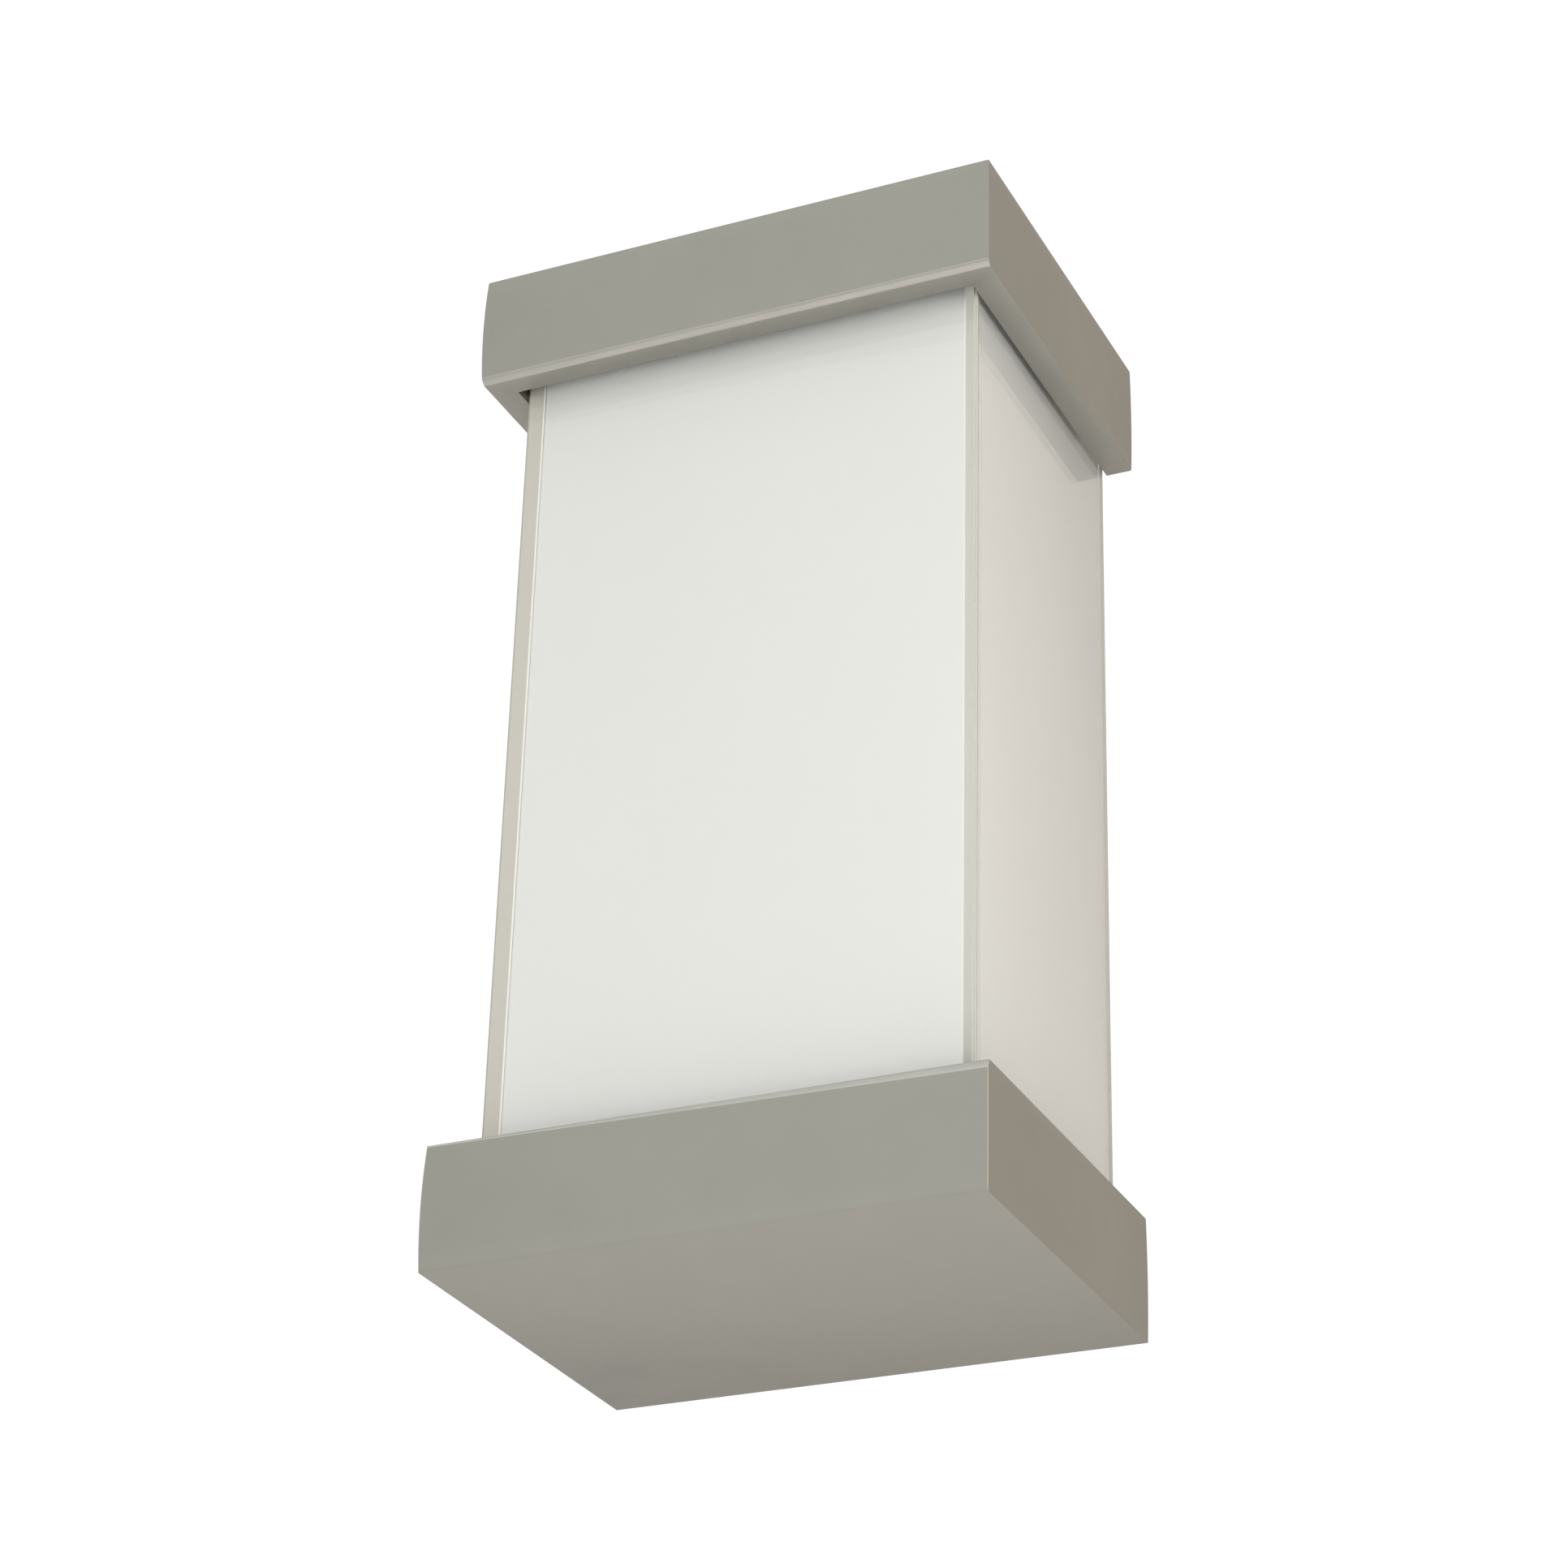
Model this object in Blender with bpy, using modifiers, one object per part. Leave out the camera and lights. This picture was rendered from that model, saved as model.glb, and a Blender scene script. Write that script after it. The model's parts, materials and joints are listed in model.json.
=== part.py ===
"""Outdoor wall lantern: a hollow metal cap and base of equal size, joined by a steel pan at the wall,
with a clear glass box between them, an opal liner inside it, and one screw-in lamp.

Frame: metres, +Z up, -Y to the front. The origin is the centre of the mounting strap's wall face, so the
wall is the plane y = 0 and the object is centred on x = 0 and z = 0.
"""

import math

import bmesh
import bpy

# ---------------------------------------------------------------- driving dimensions (metres)
HEIGHT = 0.305  # underside of the base to the top of the cap
WIDTH = 0.157
DEPTH = 0.114
SHELL_HEIGHT = 0.035  # cap and base alike
SHELL_WALL = 0.0025
SHELL_RIM = 0.0083  # inward flange round the glass
SHELL_BULGE = 0.0005  # crown of the upright faces at mid height
SHELL_ROUND = 0.0014
CROWN_CUTS = 5  # rows of facets that make the crown, less one

GLASS_HALF = 0.0695  # outer faces of the clear side panes
GLASS_FRONT = 0.101  # outer face of the clear front pane, from the wall
GLASS_THICK = 0.004
GLASS_ARRIS = 0.0009  # ground corner of a pane
OPAL_THICK = 0.003
OPAL_ARRIS = 0.0004
GLASS_BACK = 0.002  # back edge of the side panes, from the wall
GLASS_INSET = 0.0085  # how far the panes go into the cap and the base

GAP = 0.0003  # between pieces that touch
SHEET = 0.0015
PAN_HALF = 0.0615
PAN_DEPTH = 0.020
PAN_ROUND = 0.001
GASKET_THICK = 0.002
GASKET_WIDE = 0.0075
STRAP_HALF = 0.052
STRAP_HIGH = 0.020
STRAP_THICK = 0.002
BOX_SCREW_X = 0.04445  # half of the 3.5 in spacing of a junction box's screws
BOX_SLOT_HALF = 0.004  # half of a slot's length, and its end radius
BOX_SLOT_RADIUS = 0.0024
STUD_X = 0.028
STUD_RADIUS = 0.0021
STUD_LONG = 0.0283
STUD_INSET = 0.0006  # the stud's back end, short of the wall
WASHER_RADIUS = 0.006
WASHER_BORE = 0.0025
WASHER_THICK = 0.001
NUT_RADIUS = 0.0052
NUT_HIGH = 0.0050
NUT_DOME = 0.0044
NUT_BORE = 0.0080

LAMP_Y = -0.057  # lamp axis, half way between cap front and wall
BULB_RADIUS = 0.030
BULB_LENGTH = 0.108
SHELF_Z = -0.084  # top of the socket bracket's shelf
SOCKET_RADIUS = 0.0185
SOCKET_HIGH = 0.0397
SOCKET_FLOOR = 0.0100
SOCKET_BORE = 0.0152
SOCKET_RIM = 0.0010
CONTACT_HALF = 0.003
BRACKET_HALF = 0.015
BRACKET_REACH = 0.022  # from the lamp axis forwards
BRACKET_RISE = 0.022  # of the upright leg above the shelf
SCREW_PITCH = 0.0036  # of the socket's and the lamp's rolled threads
LEAD_RADIUS = 0.0010
GROMMET_Z = -0.100
BULB_NECK = 0.0128
BULB_WALL = 0.0012

THUMB_X = 0.050  # thumb screws and the standoffs under them
THUMB_RADIUS = 0.008
THUMB_HIGH = 0.006
THUMB_TEETH = 24
THUMB_SHANK = 0.0020
THUMB_REACH = 0.020  # of the shank below the cap's top
THUMB_WASHER_RADIUS = 0.0085
STANDOFF_RADIUS = 0.0046
STANDOFF_SPIGOT = 0.0025
STANDOFF_BORE = 0.00225
CLIP_X = 0.052
CLIP_Y = -0.082
CLIP_REACH = 0.017
CLIP_WIDE = 0.011
CLIP_TAIL = 0.006
CLIP_THICK = 0.0018
CLIP_SHANK = 0.0015
SCREW_X = 0.040  # screws that join the pan to the frames above and below it
SCREW_Y = -0.011
FRONT_SCREW_X = 0.045
FRONT_SCREW_Y = -0.086
BOSS_RADIUS = 0.0045
BOSS_BORE = 0.0022
BOSS_BORE_DEEP = 0.014
SCREW_HOLE = 0.0023
STUD_HOLE = 0.0026
THUMB_HOLE = 0.0026
RIVET_HOLE = 0.0017
GROMMET_HOLE = 0.0053
RIVET_X = 0.009  # rivets that hold the socket bracket to the pan
RIVET_Z = -0.072
SOCKET_SCREW_X = 0.0095
GROUND_X = 0.012
LEAD_X = 0.0030
LEAD_STEP = 0.009  # between the points a lead runs through
CONNECTOR_X = 0.020
CONNECTOR_Z = 0.040

# ---------------------------------------------------------------- derived levels
TOP = HEIGHT / 2
BOTTOM = -HEIGHT / 2
CAP_MOUTH = TOP - SHELL_HEIGHT
BASE_MOUTH = BOTTOM + SHELL_HEIGHT
GLASS_TOP = CAP_MOUTH + GLASS_INSET
GLASS_LOW = BASE_MOUTH - GLASS_INSET
PAD_THICK = 0.0012
BASE_FRAME_TOP = GLASS_LOW - PAD_THICK - 2 * GAP
PAN_LOW = BASE_FRAME_TOP + GAP
TOP_FRAME_THICK = 0.002
TOP_OPENING_HALF = 0.042  # way through the top frame for the lamp
TOP_OPENING_FRONT = -0.0895
TOP_OPENING_BACK = -0.0265
BASE_FRAME_HALF = 0.0698
BASE_FRAME_FRONT = -0.1048
TOP_FRAME_TOP = GLASS_TOP + GAP
PAN_TOP = TOP_FRAME_TOP - TOP_FRAME_THICK - GAP
PAN_BACK = -(GASKET_THICK + GAP)
OPAL_HALF = GLASS_HALF - GLASS_THICK - GAP
OPAL_FRONT = GLASS_FRONT - GLASS_THICK - GAP
SOCKET_LOW = SHELF_Z + GAP
SOCKET_TOP = SOCKET_LOW + SOCKET_HIGH
BULB_TIP = SOCKET_LOW + SOCKET_FLOOR + 0.0045
BULB_TOP = BULB_TIP + BULB_LENGTH
BULB_CENTRE = BULB_TOP - BULB_RADIUS
HOLLOW_Y = -0.0105  # middle of the space behind the pan

ROUND_STEPS = 24
SLOT_STEPS = 11  # facets of a slot's half-round end
WELD = 0.00001
THROUGH = 0.02  # length of a cutting rod that goes right through a sheet


# ---------------------------------------------------------------- scene and helpers
def clear_scene():
    for old in list(bpy.data.objects):
        bpy.data.objects.remove(old)


def make_collection(name):
    collection = bpy.data.collections.new(name)
    bpy.context.scene.collection.children.link(collection)
    return collection


def make_material(name, colour, roughness, metallic=0.0, transmission=0.0):
    material = bpy.data.materials.new(name)
    material.use_nodes = True
    shader = material.node_tree.nodes["Principled BSDF"]
    shader.inputs["Base Color"].default_value = (*colour, 1.0)
    shader.inputs["Roughness"].default_value = roughness
    shader.inputs["Metallic"].default_value = metallic
    shader.inputs["Transmission Weight"].default_value = transmission
    material.diffuse_color = (*colour, 1.0)
    return material


def place(name, data, collection, material=None, location=(0, 0, 0), rotation=(0, 0, 0)):
    item = bpy.data.objects.new(name, data)
    item.location = location
    item.rotation_euler = rotation
    collection.objects.link(item)
    if material:
        data.materials.append(material)
    return item


def mesh_from(name, build):
    """A mesh filled by build(bm)."""
    bm = bmesh.new()
    build(bm)
    bmesh.ops.recalc_face_normals(bm, faces=bm.faces)
    mesh = bpy.data.meshes.new(name)
    bm.to_mesh(mesh)
    bm.free()
    return mesh


def box_mesh(name, size):
    def build(bm):
        bmesh.ops.create_cube(bm, size=1.0)
        bmesh.ops.scale(bm, vec=size, verts=bm.verts)

    return mesh_from(name, build)


def rod_mesh(name, radius, length, segments=ROUND_STEPS, end_radius=None):
    def build(bm):
        bmesh.ops.create_cone(
            bm,
            cap_ends=True,
            segments=segments,
            radius1=radius,
            radius2=radius if end_radius is None else end_radius,
            depth=length,
        )

    return mesh_from(name, build)


def add_bevel(item, width, segments=2):
    bevel = item.modifiers.new("edge_round", "BEVEL")
    bevel.width = width
    bevel.segments = segments
    bevel.limit_method = "ANGLE"
    bevel.angle_limit = math.radians(40)


def box(name, low, high, material, bevel=0.0, segments=2):
    size = [b - a for a, b in zip(low, high)]
    centre = [(a + b) / 2 for a, b in zip(low, high)]
    item = place(name, box_mesh(name, size), LANTERN, material, centre)
    if bevel:
        add_bevel(item, bevel, segments)
    return item


def box_tool(low, high):
    size = [b - a for a, b in zip(low, high)]
    centre = [(a + b) / 2 for a, b in zip(low, high)]
    return hide_tool(place("box_tool", box_mesh("box_tool", size), TOOLS, None, centre))


def rod_tool(centre, radius, length, axis="Z", segments=ROUND_STEPS):
    mesh = rod_mesh("rod_tool", radius, length, segments)
    return hide_tool(place("rod_tool", mesh, TOOLS, None, centre, TURN[axis]))


def hide_tool(item):
    item.hide_render = True
    item.display_type = "WIRE"
    return item


def boolean(item, tool, operation="DIFFERENCE"):
    modifier = item.modifiers.new(operation.lower(), "BOOLEAN")
    modifier.object = tool
    modifier.operation = operation
    return item


def cut(item, *tools):
    for tool in tools:
        boolean(item, tool)
    return item


def join(item, *tools):
    for tool in tools:
        boolean(item, tool, "UNION")
    return item


def turned(name, profile, location, material, axis="Z", closed=False, steps=ROUND_STEPS):
    """A profile of (radius, height) points, down the outer side, turned about the axis."""
    mesh = bpy.data.meshes.new(name)
    points = [(radius, 0.0, height) for radius, height in profile]
    edges = [(i, i + 1) for i in range(len(points) - 1)]
    if closed:
        edges.append((len(points) - 1, 0))
    mesh.from_pydata(points, edges, [])
    item = place(name, mesh, LANTERN, material, location, TURN[axis])
    screw = item.modifiers.new("turn", "SCREW")
    screw.steps = steps
    screw.render_steps = steps
    screw.use_merge_vertices = True
    screw.merge_threshold = WELD
    screw.use_smooth_shade = True
    return item


def plate(name, outline, low_z, high_z, material, holes=()):
    """A flat outline in X and Y, with further closed outlines as holes, between two levels."""
    curve = bpy.data.curves.new(name, "CURVE")
    curve.dimensions = "2D"
    curve.fill_mode = "BOTH"
    curve.extrude = (high_z - low_z) / 2
    for loop in (outline, *holes):
        spline = curve.splines.new("POLY")
        spline.points.add(len(loop) - 1)
        for point, (x, y) in zip(spline.points, loop):
            point.co = (x, y, 0.0, 1.0)
        spline.use_cyclic_u = True
    return place(name, curve, LANTERN, material, (0, 0, (low_z + high_z) / 2))


def wire(name, points, radius, material):
    """A round lead through the points, smoothed by a Catmull-Rom curve read every few millimetres."""
    route = []
    ends = [points[0], *points, points[-1]]
    for a, b, c, d in zip(ends, ends[1:], ends[2:], ends[3:]):
        count = max(2, round(math.dist(b, c) / LEAD_STEP))
        for step in range(count):
            t = step / count
            route.append([
                0.5 * (2 * q + (r - p) * t + (2 * p - 5 * q + 4 * r - s) * t**2 + (3 * q - p - 3 * r + s) * t**3)
                for p, q, r, s in zip(a, b, c, d)
            ])
    route.append(points[-1])
    curve = bpy.data.curves.new(name, "CURVE")
    curve.dimensions = "3D"
    curve.bevel_depth = radius
    curve.bevel_resolution = 2
    curve.use_fill_caps = True
    spline = curve.splines.new("POLY")
    spline.points.add(len(route) - 1)
    for point, (x, y, z) in zip(spline.points, route):
        point.co = (x, y, z, 1.0)
    return place(name, curve, LANTERN, material)


def screw_profile(head_radius, head_high, shank_radius, shank_long):
    """A pan-head screw with the underside of its head at height 0."""
    dome = [
        (head_radius * math.cos(angle), head_high * (0.45 + 0.55 * math.sin(angle)))
        for angle in (math.radians(a) for a in (65, 30, 0))
    ]
    return [
        (0.0, head_high),
        *dome,
        (head_radius, 0.0),
        (shank_radius, 0.0),
        (shank_radius, -shank_long + shank_radius / 2),
        (shank_radius / 2, -shank_long),
        (0.0, -shank_long),
    ]


def screw(name, location, material, head=(0.0036, 0.0024), shank=(0.0019, 0.010), axis="Z", steps=12):
    return turned(name, screw_profile(*head, *shank), location, material, axis, steps=steps)


def sides(suffixes=("left", "right")):
    """The name and the sign of X of each side."""
    return zip(suffixes, (-1, 1))


# ---------------------------------------------------------------- cap and base shells
def crowned_block(name, low_z, high_z, material):
    """The outer form of the cap or base: a block whose upright faces swell a little at mid height."""
    size = (WIDTH - 2 * SHELL_BULGE, DEPTH - SHELL_BULGE, high_z - low_z)

    def build(bm):
        bmesh.ops.create_cube(bm, size=1.0)
        upright = [e for e in bm.edges if abs(e.verts[0].co.z - e.verts[1].co.z) > 0.5]
        bmesh.ops.subdivide_edges(bm, edges=upright, cuts=CROWN_CUTS, use_grid_fill=True)
        bmesh.ops.scale(bm, vec=size, verts=bm.verts)
        for vert in bm.verts:
            swell = SHELL_BULGE * (1 - (2 * vert.co.z / size[2]) ** 2)
            vert.co.x += math.copysign(swell, vert.co.x)
            if vert.co.y < 0:
                vert.co.y -= swell

    centre = (0, -size[1] / 2, (low_z + high_z) / 2)
    item = place(name, mesh_from(name, build), LANTERN, material, centre)
    add_bevel(item, SHELL_ROUND, 2)
    return item


def hollow_shell(name, low_z, high_z, up):
    """The crowned block, hollowed and open at the wall, with a flanged mouth that looks down (up = 1) or up."""
    item = crowned_block(name, low_z, high_z, SATIN_NICKEL)
    ends = (low_z, high_z) if up > 0 else (high_z, low_z)
    mouth, closed = ends
    behind = 0.01
    inner = sorted((mouth + up * SHELL_WALL, closed - up * SHELL_WALL))
    opening = sorted((mouth - up * behind, mouth + up * 2 * SHELL_WALL))
    hollow = box_tool(
        (-WIDTH / 2 + SHELL_WALL, -DEPTH + SHELL_WALL, inner[0]),
        (WIDTH / 2 - SHELL_WALL, behind, inner[1]),
    )
    way_in = box_tool(
        (-WIDTH / 2 + SHELL_RIM, -DEPTH + SHELL_RIM, opening[0]),
        (WIDTH / 2 - SHELL_RIM, behind, opening[1]),
    )
    return cut(item, hollow, way_in)


def make_cap():
    cap = hollow_shell("top_cap", CAP_MOUTH, TOP, 1)
    for _, side in sides():
        cut(cap, rod_tool((side * THUMB_X, LAMP_Y, TOP), THUMB_HOLE, THROUGH))


def make_base():
    base = hollow_shell("base_shell", BOTTOM, BASE_MOUTH, -1)
    floor = BOTTOM + SHELL_WALL
    boss_top = BASE_FRAME_TOP - SHEET - GAP
    low = floor - SHELL_WALL / 2
    for _, x, y in base_screw_places():
        join(base, rod_tool((x, y, (low + boss_top) / 2), BOSS_RADIUS, boss_top - low))
        cut(base, rod_tool((x, y, boss_top - BOSS_BORE_DEEP / 2 + 0.002), BOSS_BORE, BOSS_BORE_DEEP + 0.004))


def base_screw_places():
    """The name and the place in X and Y of each screw that goes down into the base."""
    for name, side in sides():
        yield f"back_{name}", side * SCREW_X, SCREW_Y
        yield f"front_{name}", side * FRONT_SCREW_X, FRONT_SCREW_Y


# ---------------------------------------------------------------- glass
def glass_box(prefix, half, front, thick, arris, material):
    """Three mitred panes round the front and both sides, with a hairline joint at each corner."""
    shift = GAP / math.sqrt(2)

    def corner(side, gap_side):
        along = (arris - gap_side * shift) / 2
        outer = (side * (half - arris + along), -front + along)
        if gap_side > 0:
            return outer, (side * (half - thick - shift), -front + thick)
        return outer, (side * (half - thick), -front + thick + shift)

    left_arris, left_inner = corner(-1, 1)
    right_arris, right_inner = corner(1, 1)
    front_outline = [
        (-half + arris, -front),
        (half - arris, -front),
        right_arris,
        right_inner,
        left_inner,
        left_arris,
    ]
    plate(f"{prefix}_front", front_outline, GLASS_LOW, GLASS_TOP, material)
    for name, side in sides():
        arris_point, inner_point = corner(side, -1)
        outline = [
            arris_point,
            (side * half, -front + arris),
            (side * half, -GLASS_BACK),
            (side * (half - thick), -GLASS_BACK),
            inner_point,
        ]
        plate(f"{prefix}_{name}", outline, GLASS_LOW, GLASS_TOP, material)


def make_glass_pad():
    outer, front = GLASS_HALF, GLASS_FRONT
    inner = OPAL_HALF - OPAL_THICK
    inner_front = OPAL_FRONT - OPAL_THICK
    outline = [
        (-outer, -front),
        (outer, -front),
        (outer, -GLASS_BACK),
        (inner, -GLASS_BACK),
        (inner, -inner_front),
        (-inner, -inner_front),
        (-inner, -GLASS_BACK),
        (-outer, -GLASS_BACK),
    ]
    low = BASE_FRAME_TOP + GAP
    plate("glass_base_pad", outline, low, low + PAD_THICK, EPDM)


# ---------------------------------------------------------------- frame between cap, base and wall
def make_pan():
    low, high = (-PAN_HALF, -PAN_DEPTH, PAN_LOW), (PAN_HALF, PAN_BACK, PAN_TOP)
    pan = box("back_pan", low, high, WHITE_PAINT, PAN_ROUND, 1)
    hollow = box_tool(
        (-PAN_HALF + SHEET, -PAN_DEPTH + SHEET, PAN_LOW + SHEET),
        (PAN_HALF - SHEET, -PAN_BACK, PAN_TOP - SHEET),
    )
    cut(pan, hollow)
    web = -PAN_DEPTH
    cut(pan, rod_tool((0, web, GROMMET_Z), GROMMET_HOLE, THROUGH, "Y"))
    for _, side in sides():
        cut(pan, rod_tool((side * STUD_X, web, 0), STUD_HOLE, THROUGH, "Y"))
        cut(pan, rod_tool((side * RIVET_X, web, RIVET_Z), RIVET_HOLE, THROUGH, "Y", 16))
        for level in (PAN_LOW, PAN_TOP):
            cut(pan, rod_tool((side * SCREW_X, SCREW_Y, level), SCREW_HOLE, THROUGH))


def make_base_frame():
    outline = rectangle(-BASE_FRAME_HALF, BASE_FRAME_FRONT, BASE_FRAME_HALF, PAN_BACK)
    holes = [circle(x, y, SCREW_HOLE) for _, x, y in base_screw_places()]
    plate("base_frame", outline, BASE_FRAME_TOP - SHEET, BASE_FRAME_TOP, GALVANISED, holes)
    for name, x, y in base_screw_places():
        seat = PAN_LOW + SHEET if y == SCREW_Y else BASE_FRAME_TOP
        screw(f"base_screw_{name}", (x, y, seat + GAP), STEEL, shank=(0.0019, 0.013))


def make_top_frame():
    half = PAN_HALF - GAP
    outline = rectangle(-half, -OPAL_FRONT + OPAL_THICK + GAP, half, PAN_BACK)
    holes = [rectangle(-TOP_OPENING_HALF, TOP_OPENING_FRONT, TOP_OPENING_HALF, TOP_OPENING_BACK)]
    for _, side in sides():
        holes.append(circle(side * THUMB_X, LAMP_Y, STANDOFF_SPIGOT + GAP))
        holes.append(circle(side * CLIP_X, CLIP_Y, CLIP_SHANK + GAP))
        holes.append(circle(side * SCREW_X, SCREW_Y, SCREW_HOLE))
    plate("top_frame", outline, TOP_FRAME_TOP - TOP_FRAME_THICK, TOP_FRAME_TOP, GALVANISED, holes)
    for name, side in sides():
        screw(f"top_frame_screw_{name}", (side * SCREW_X, SCREW_Y, TOP_FRAME_TOP + GAP), STEEL)


def rectangle(x0, y0, x1, y1):
    return [(x0, y0), (x1, y0), (x1, y1), (x0, y1)]


def circle(x, y, radius, count=16):
    angles = [2 * math.pi * i / count for i in range(count)]
    return [(x + radius * math.cos(a), y + radius * math.sin(a)) for a in angles]


def make_standoffs():
    """Hexagon standoffs on the top frame: the cap rests on them and the thumb screws go into them."""
    low = TOP_FRAME_TOP + GAP
    high = TOP - SHELL_WALL - GAP
    for name, side in sides():
        x = side * THUMB_X
        mesh = rod_mesh(f"cap_standoff_{name}", STANDOFF_RADIUS, high - low, 6)
        post = place(f"cap_standoff_{name}", mesh, LANTERN, STEEL, (x, LAMP_Y, (low + high) / 2))
        join(post, rod_tool((x, LAMP_Y, low - TOP_FRAME_THICK / 2), STANDOFF_SPIGOT, 2 * TOP_FRAME_THICK))
        cut(post, rod_tool((x, LAMP_Y, 0), STANDOFF_BORE, HEIGHT, segments=16))


def make_thumb_screws():
    """Knurled screws that hold the cap from above, each on a sealing washer."""
    washer_low = TOP + GAP
    head_low = washer_low + WASHER_THICK + GAP
    shank_low = TOP - THUMB_REACH
    shank_high = head_low + THUMB_HIGH / 3
    for name, side in sides():
        x = side * THUMB_X
        washer = washer_profile(THUMB_WASHER_RADIUS, THUMB_HOLE)
        turned(f"thumb_washer_{name}", washer, (x, LAMP_Y, washer_low), EPDM, closed=True)
        mesh = rod_mesh(f"thumb_screw_{name}", THUMB_RADIUS, THUMB_HIGH, THUMB_TEETH)
        head = place(f"thumb_screw_{name}", mesh, LANTERN, SATIN_NICKEL, (x, LAMP_Y, head_low + THUMB_HIGH / 2))
        add_bevel(head, 0.0006, 1)
        join(head, rod_tool((x, LAMP_Y, (shank_low + shank_high) / 2), THUMB_SHANK, shank_high - shank_low))


def washer_profile(radius, bore):
    return [(radius, WASHER_THICK), (radius, 0.0), (bore, 0.0), (bore, WASHER_THICK)]


def make_clips():
    """Turn buttons on the top frame that keep the panes down when the cap is off."""
    low = TOP_FRAME_TOP + GAP
    seat = low + CLIP_THICK + GAP
    half = CLIP_WIDE / 2
    for name, side in sides():
        end = [
            (side * (CLIP_REACH - half + half * math.cos(a)), half * math.sin(a))
            for a in (math.radians(-90 + 22.5 * i) for i in range(9))
        ]
        outline = [*end, (-side * CLIP_TAIL, half), (-side * CLIP_TAIL, -half)]
        clip = plate(f"glass_clip_{name}", outline, low, low + CLIP_THICK, STEEL, [circle(0, 0, SCREW_HOLE)])
        clip.location.x = side * CLIP_X
        clip.location.y = CLIP_Y
        screw(f"clip_screw_{name}", (side * CLIP_X, CLIP_Y, seat), STEEL, shank=(CLIP_SHANK, 0.008))


# ---------------------------------------------------------------- wall fixing
def make_wall_fixing():
    inner_x = PAN_HALF - GASKET_WIDE
    low, high = PAN_LOW, PAN_TOP
    gasket = box("wall_gasket", (-PAN_HALF, -GASKET_THICK, low), (PAN_HALF, 0, high), FOAM)
    cut(gasket, box_tool((-inner_x, -THROUGH, low + GASKET_WIDE), (inner_x, THROUGH, high - GASKET_WIDE)))

    strap = box("mounting_strap", (-STRAP_HALF, -STRAP_THICK, -STRAP_HIGH / 2),
                (STRAP_HALF, 0, STRAP_HIGH / 2), GALVANISED)
    for _, side in sides():
        cut(strap, slot_tool(side * BOX_SCREW_X, BOX_SLOT_HALF, BOX_SLOT_RADIUS))
        cut(strap, rod_tool((side * STUD_X, 0, 0), STUD_RADIUS + GAP, THROUGH, "Y", 16))
    cut(strap, rod_tool((GROUND_X, 0, 0), 0.0022, THROUGH, "Y", 16))

    for name, side in sides():
        x = side * STUD_X
        mesh = rod_mesh(f"mounting_stud_{name}", STUD_RADIUS, STUD_LONG, 16)
        at = (x, -STUD_INSET - STUD_LONG / 2, 0)
        add_bevel(place(f"mounting_stud_{name}", mesh, LANTERN, STEEL, at, TURN["Y"]), 0.0004, 1)
        washer = washer_profile(WASHER_RADIUS, WASHER_BORE)
        turned(f"stud_washer_{name}", washer, (x, -PAN_DEPTH - GAP, 0), STEEL, "-Y", closed=True)
        make_cap_nut(f"stud_nut_{name}", x, -PAN_DEPTH - 2 * GAP - WASHER_THICK)

    screw("ground_screw", (GROUND_X, -STRAP_THICK - GAP, 0), GREEN_SCREW, shank=(0.0019, 0.0018), axis="-Y")


def slot_tool(x, half_long, radius):
    """A cutting bar along Y with rounded ends, for a slot in a sheet at the wall."""
    outline = []
    for side in (1, -1):
        for step in range(SLOT_STEPS + 1):
            angle = math.pi * step / SLOT_STEPS - side * math.pi / 2
            centre = side * (half_long - radius)
            outline.append((x + centre + radius * math.cos(angle), radius * math.sin(angle)))

    def build(bm):
        near = [bm.verts.new((along, -THROUGH, up)) for along, up in outline]
        far = [bm.verts.new((along, THROUGH, up)) for along, up in outline]
        bm.faces.new(near)
        bm.faces.new(far)
        for i in range(len(outline)):
            bm.faces.new((near[i - 1], near[i], far[i], far[i - 1]))

    return hide_tool(place("slot_tool", mesh_from("slot_tool", build), TOOLS))


def make_cap_nut(name, x, seat_y):
    """A hexagon nut with a domed, closed end that faces into the lantern."""
    mesh = rod_mesh(name, NUT_RADIUS, NUT_HIGH, 6)
    nut = place(name, mesh, LANTERN, STEEL, (x, seat_y - NUT_HIGH / 2, 0), TURN["-Y"])

    def build(bm):
        bmesh.ops.create_uvsphere(bm, u_segments=12, v_segments=8, radius=NUT_DOME)

    dome = place("dome_tool", mesh_from("dome_tool", build), TOOLS, None, (x, seat_y - NUT_HIGH, 0), TURN["-Y"])
    join(nut, hide_tool(dome))
    cut(nut, rod_tool((x, seat_y - NUT_BORE / 2 + 0.001, 0), STUD_RADIUS + GAP, NUT_BORE + 0.002, "Y", 16))


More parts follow.
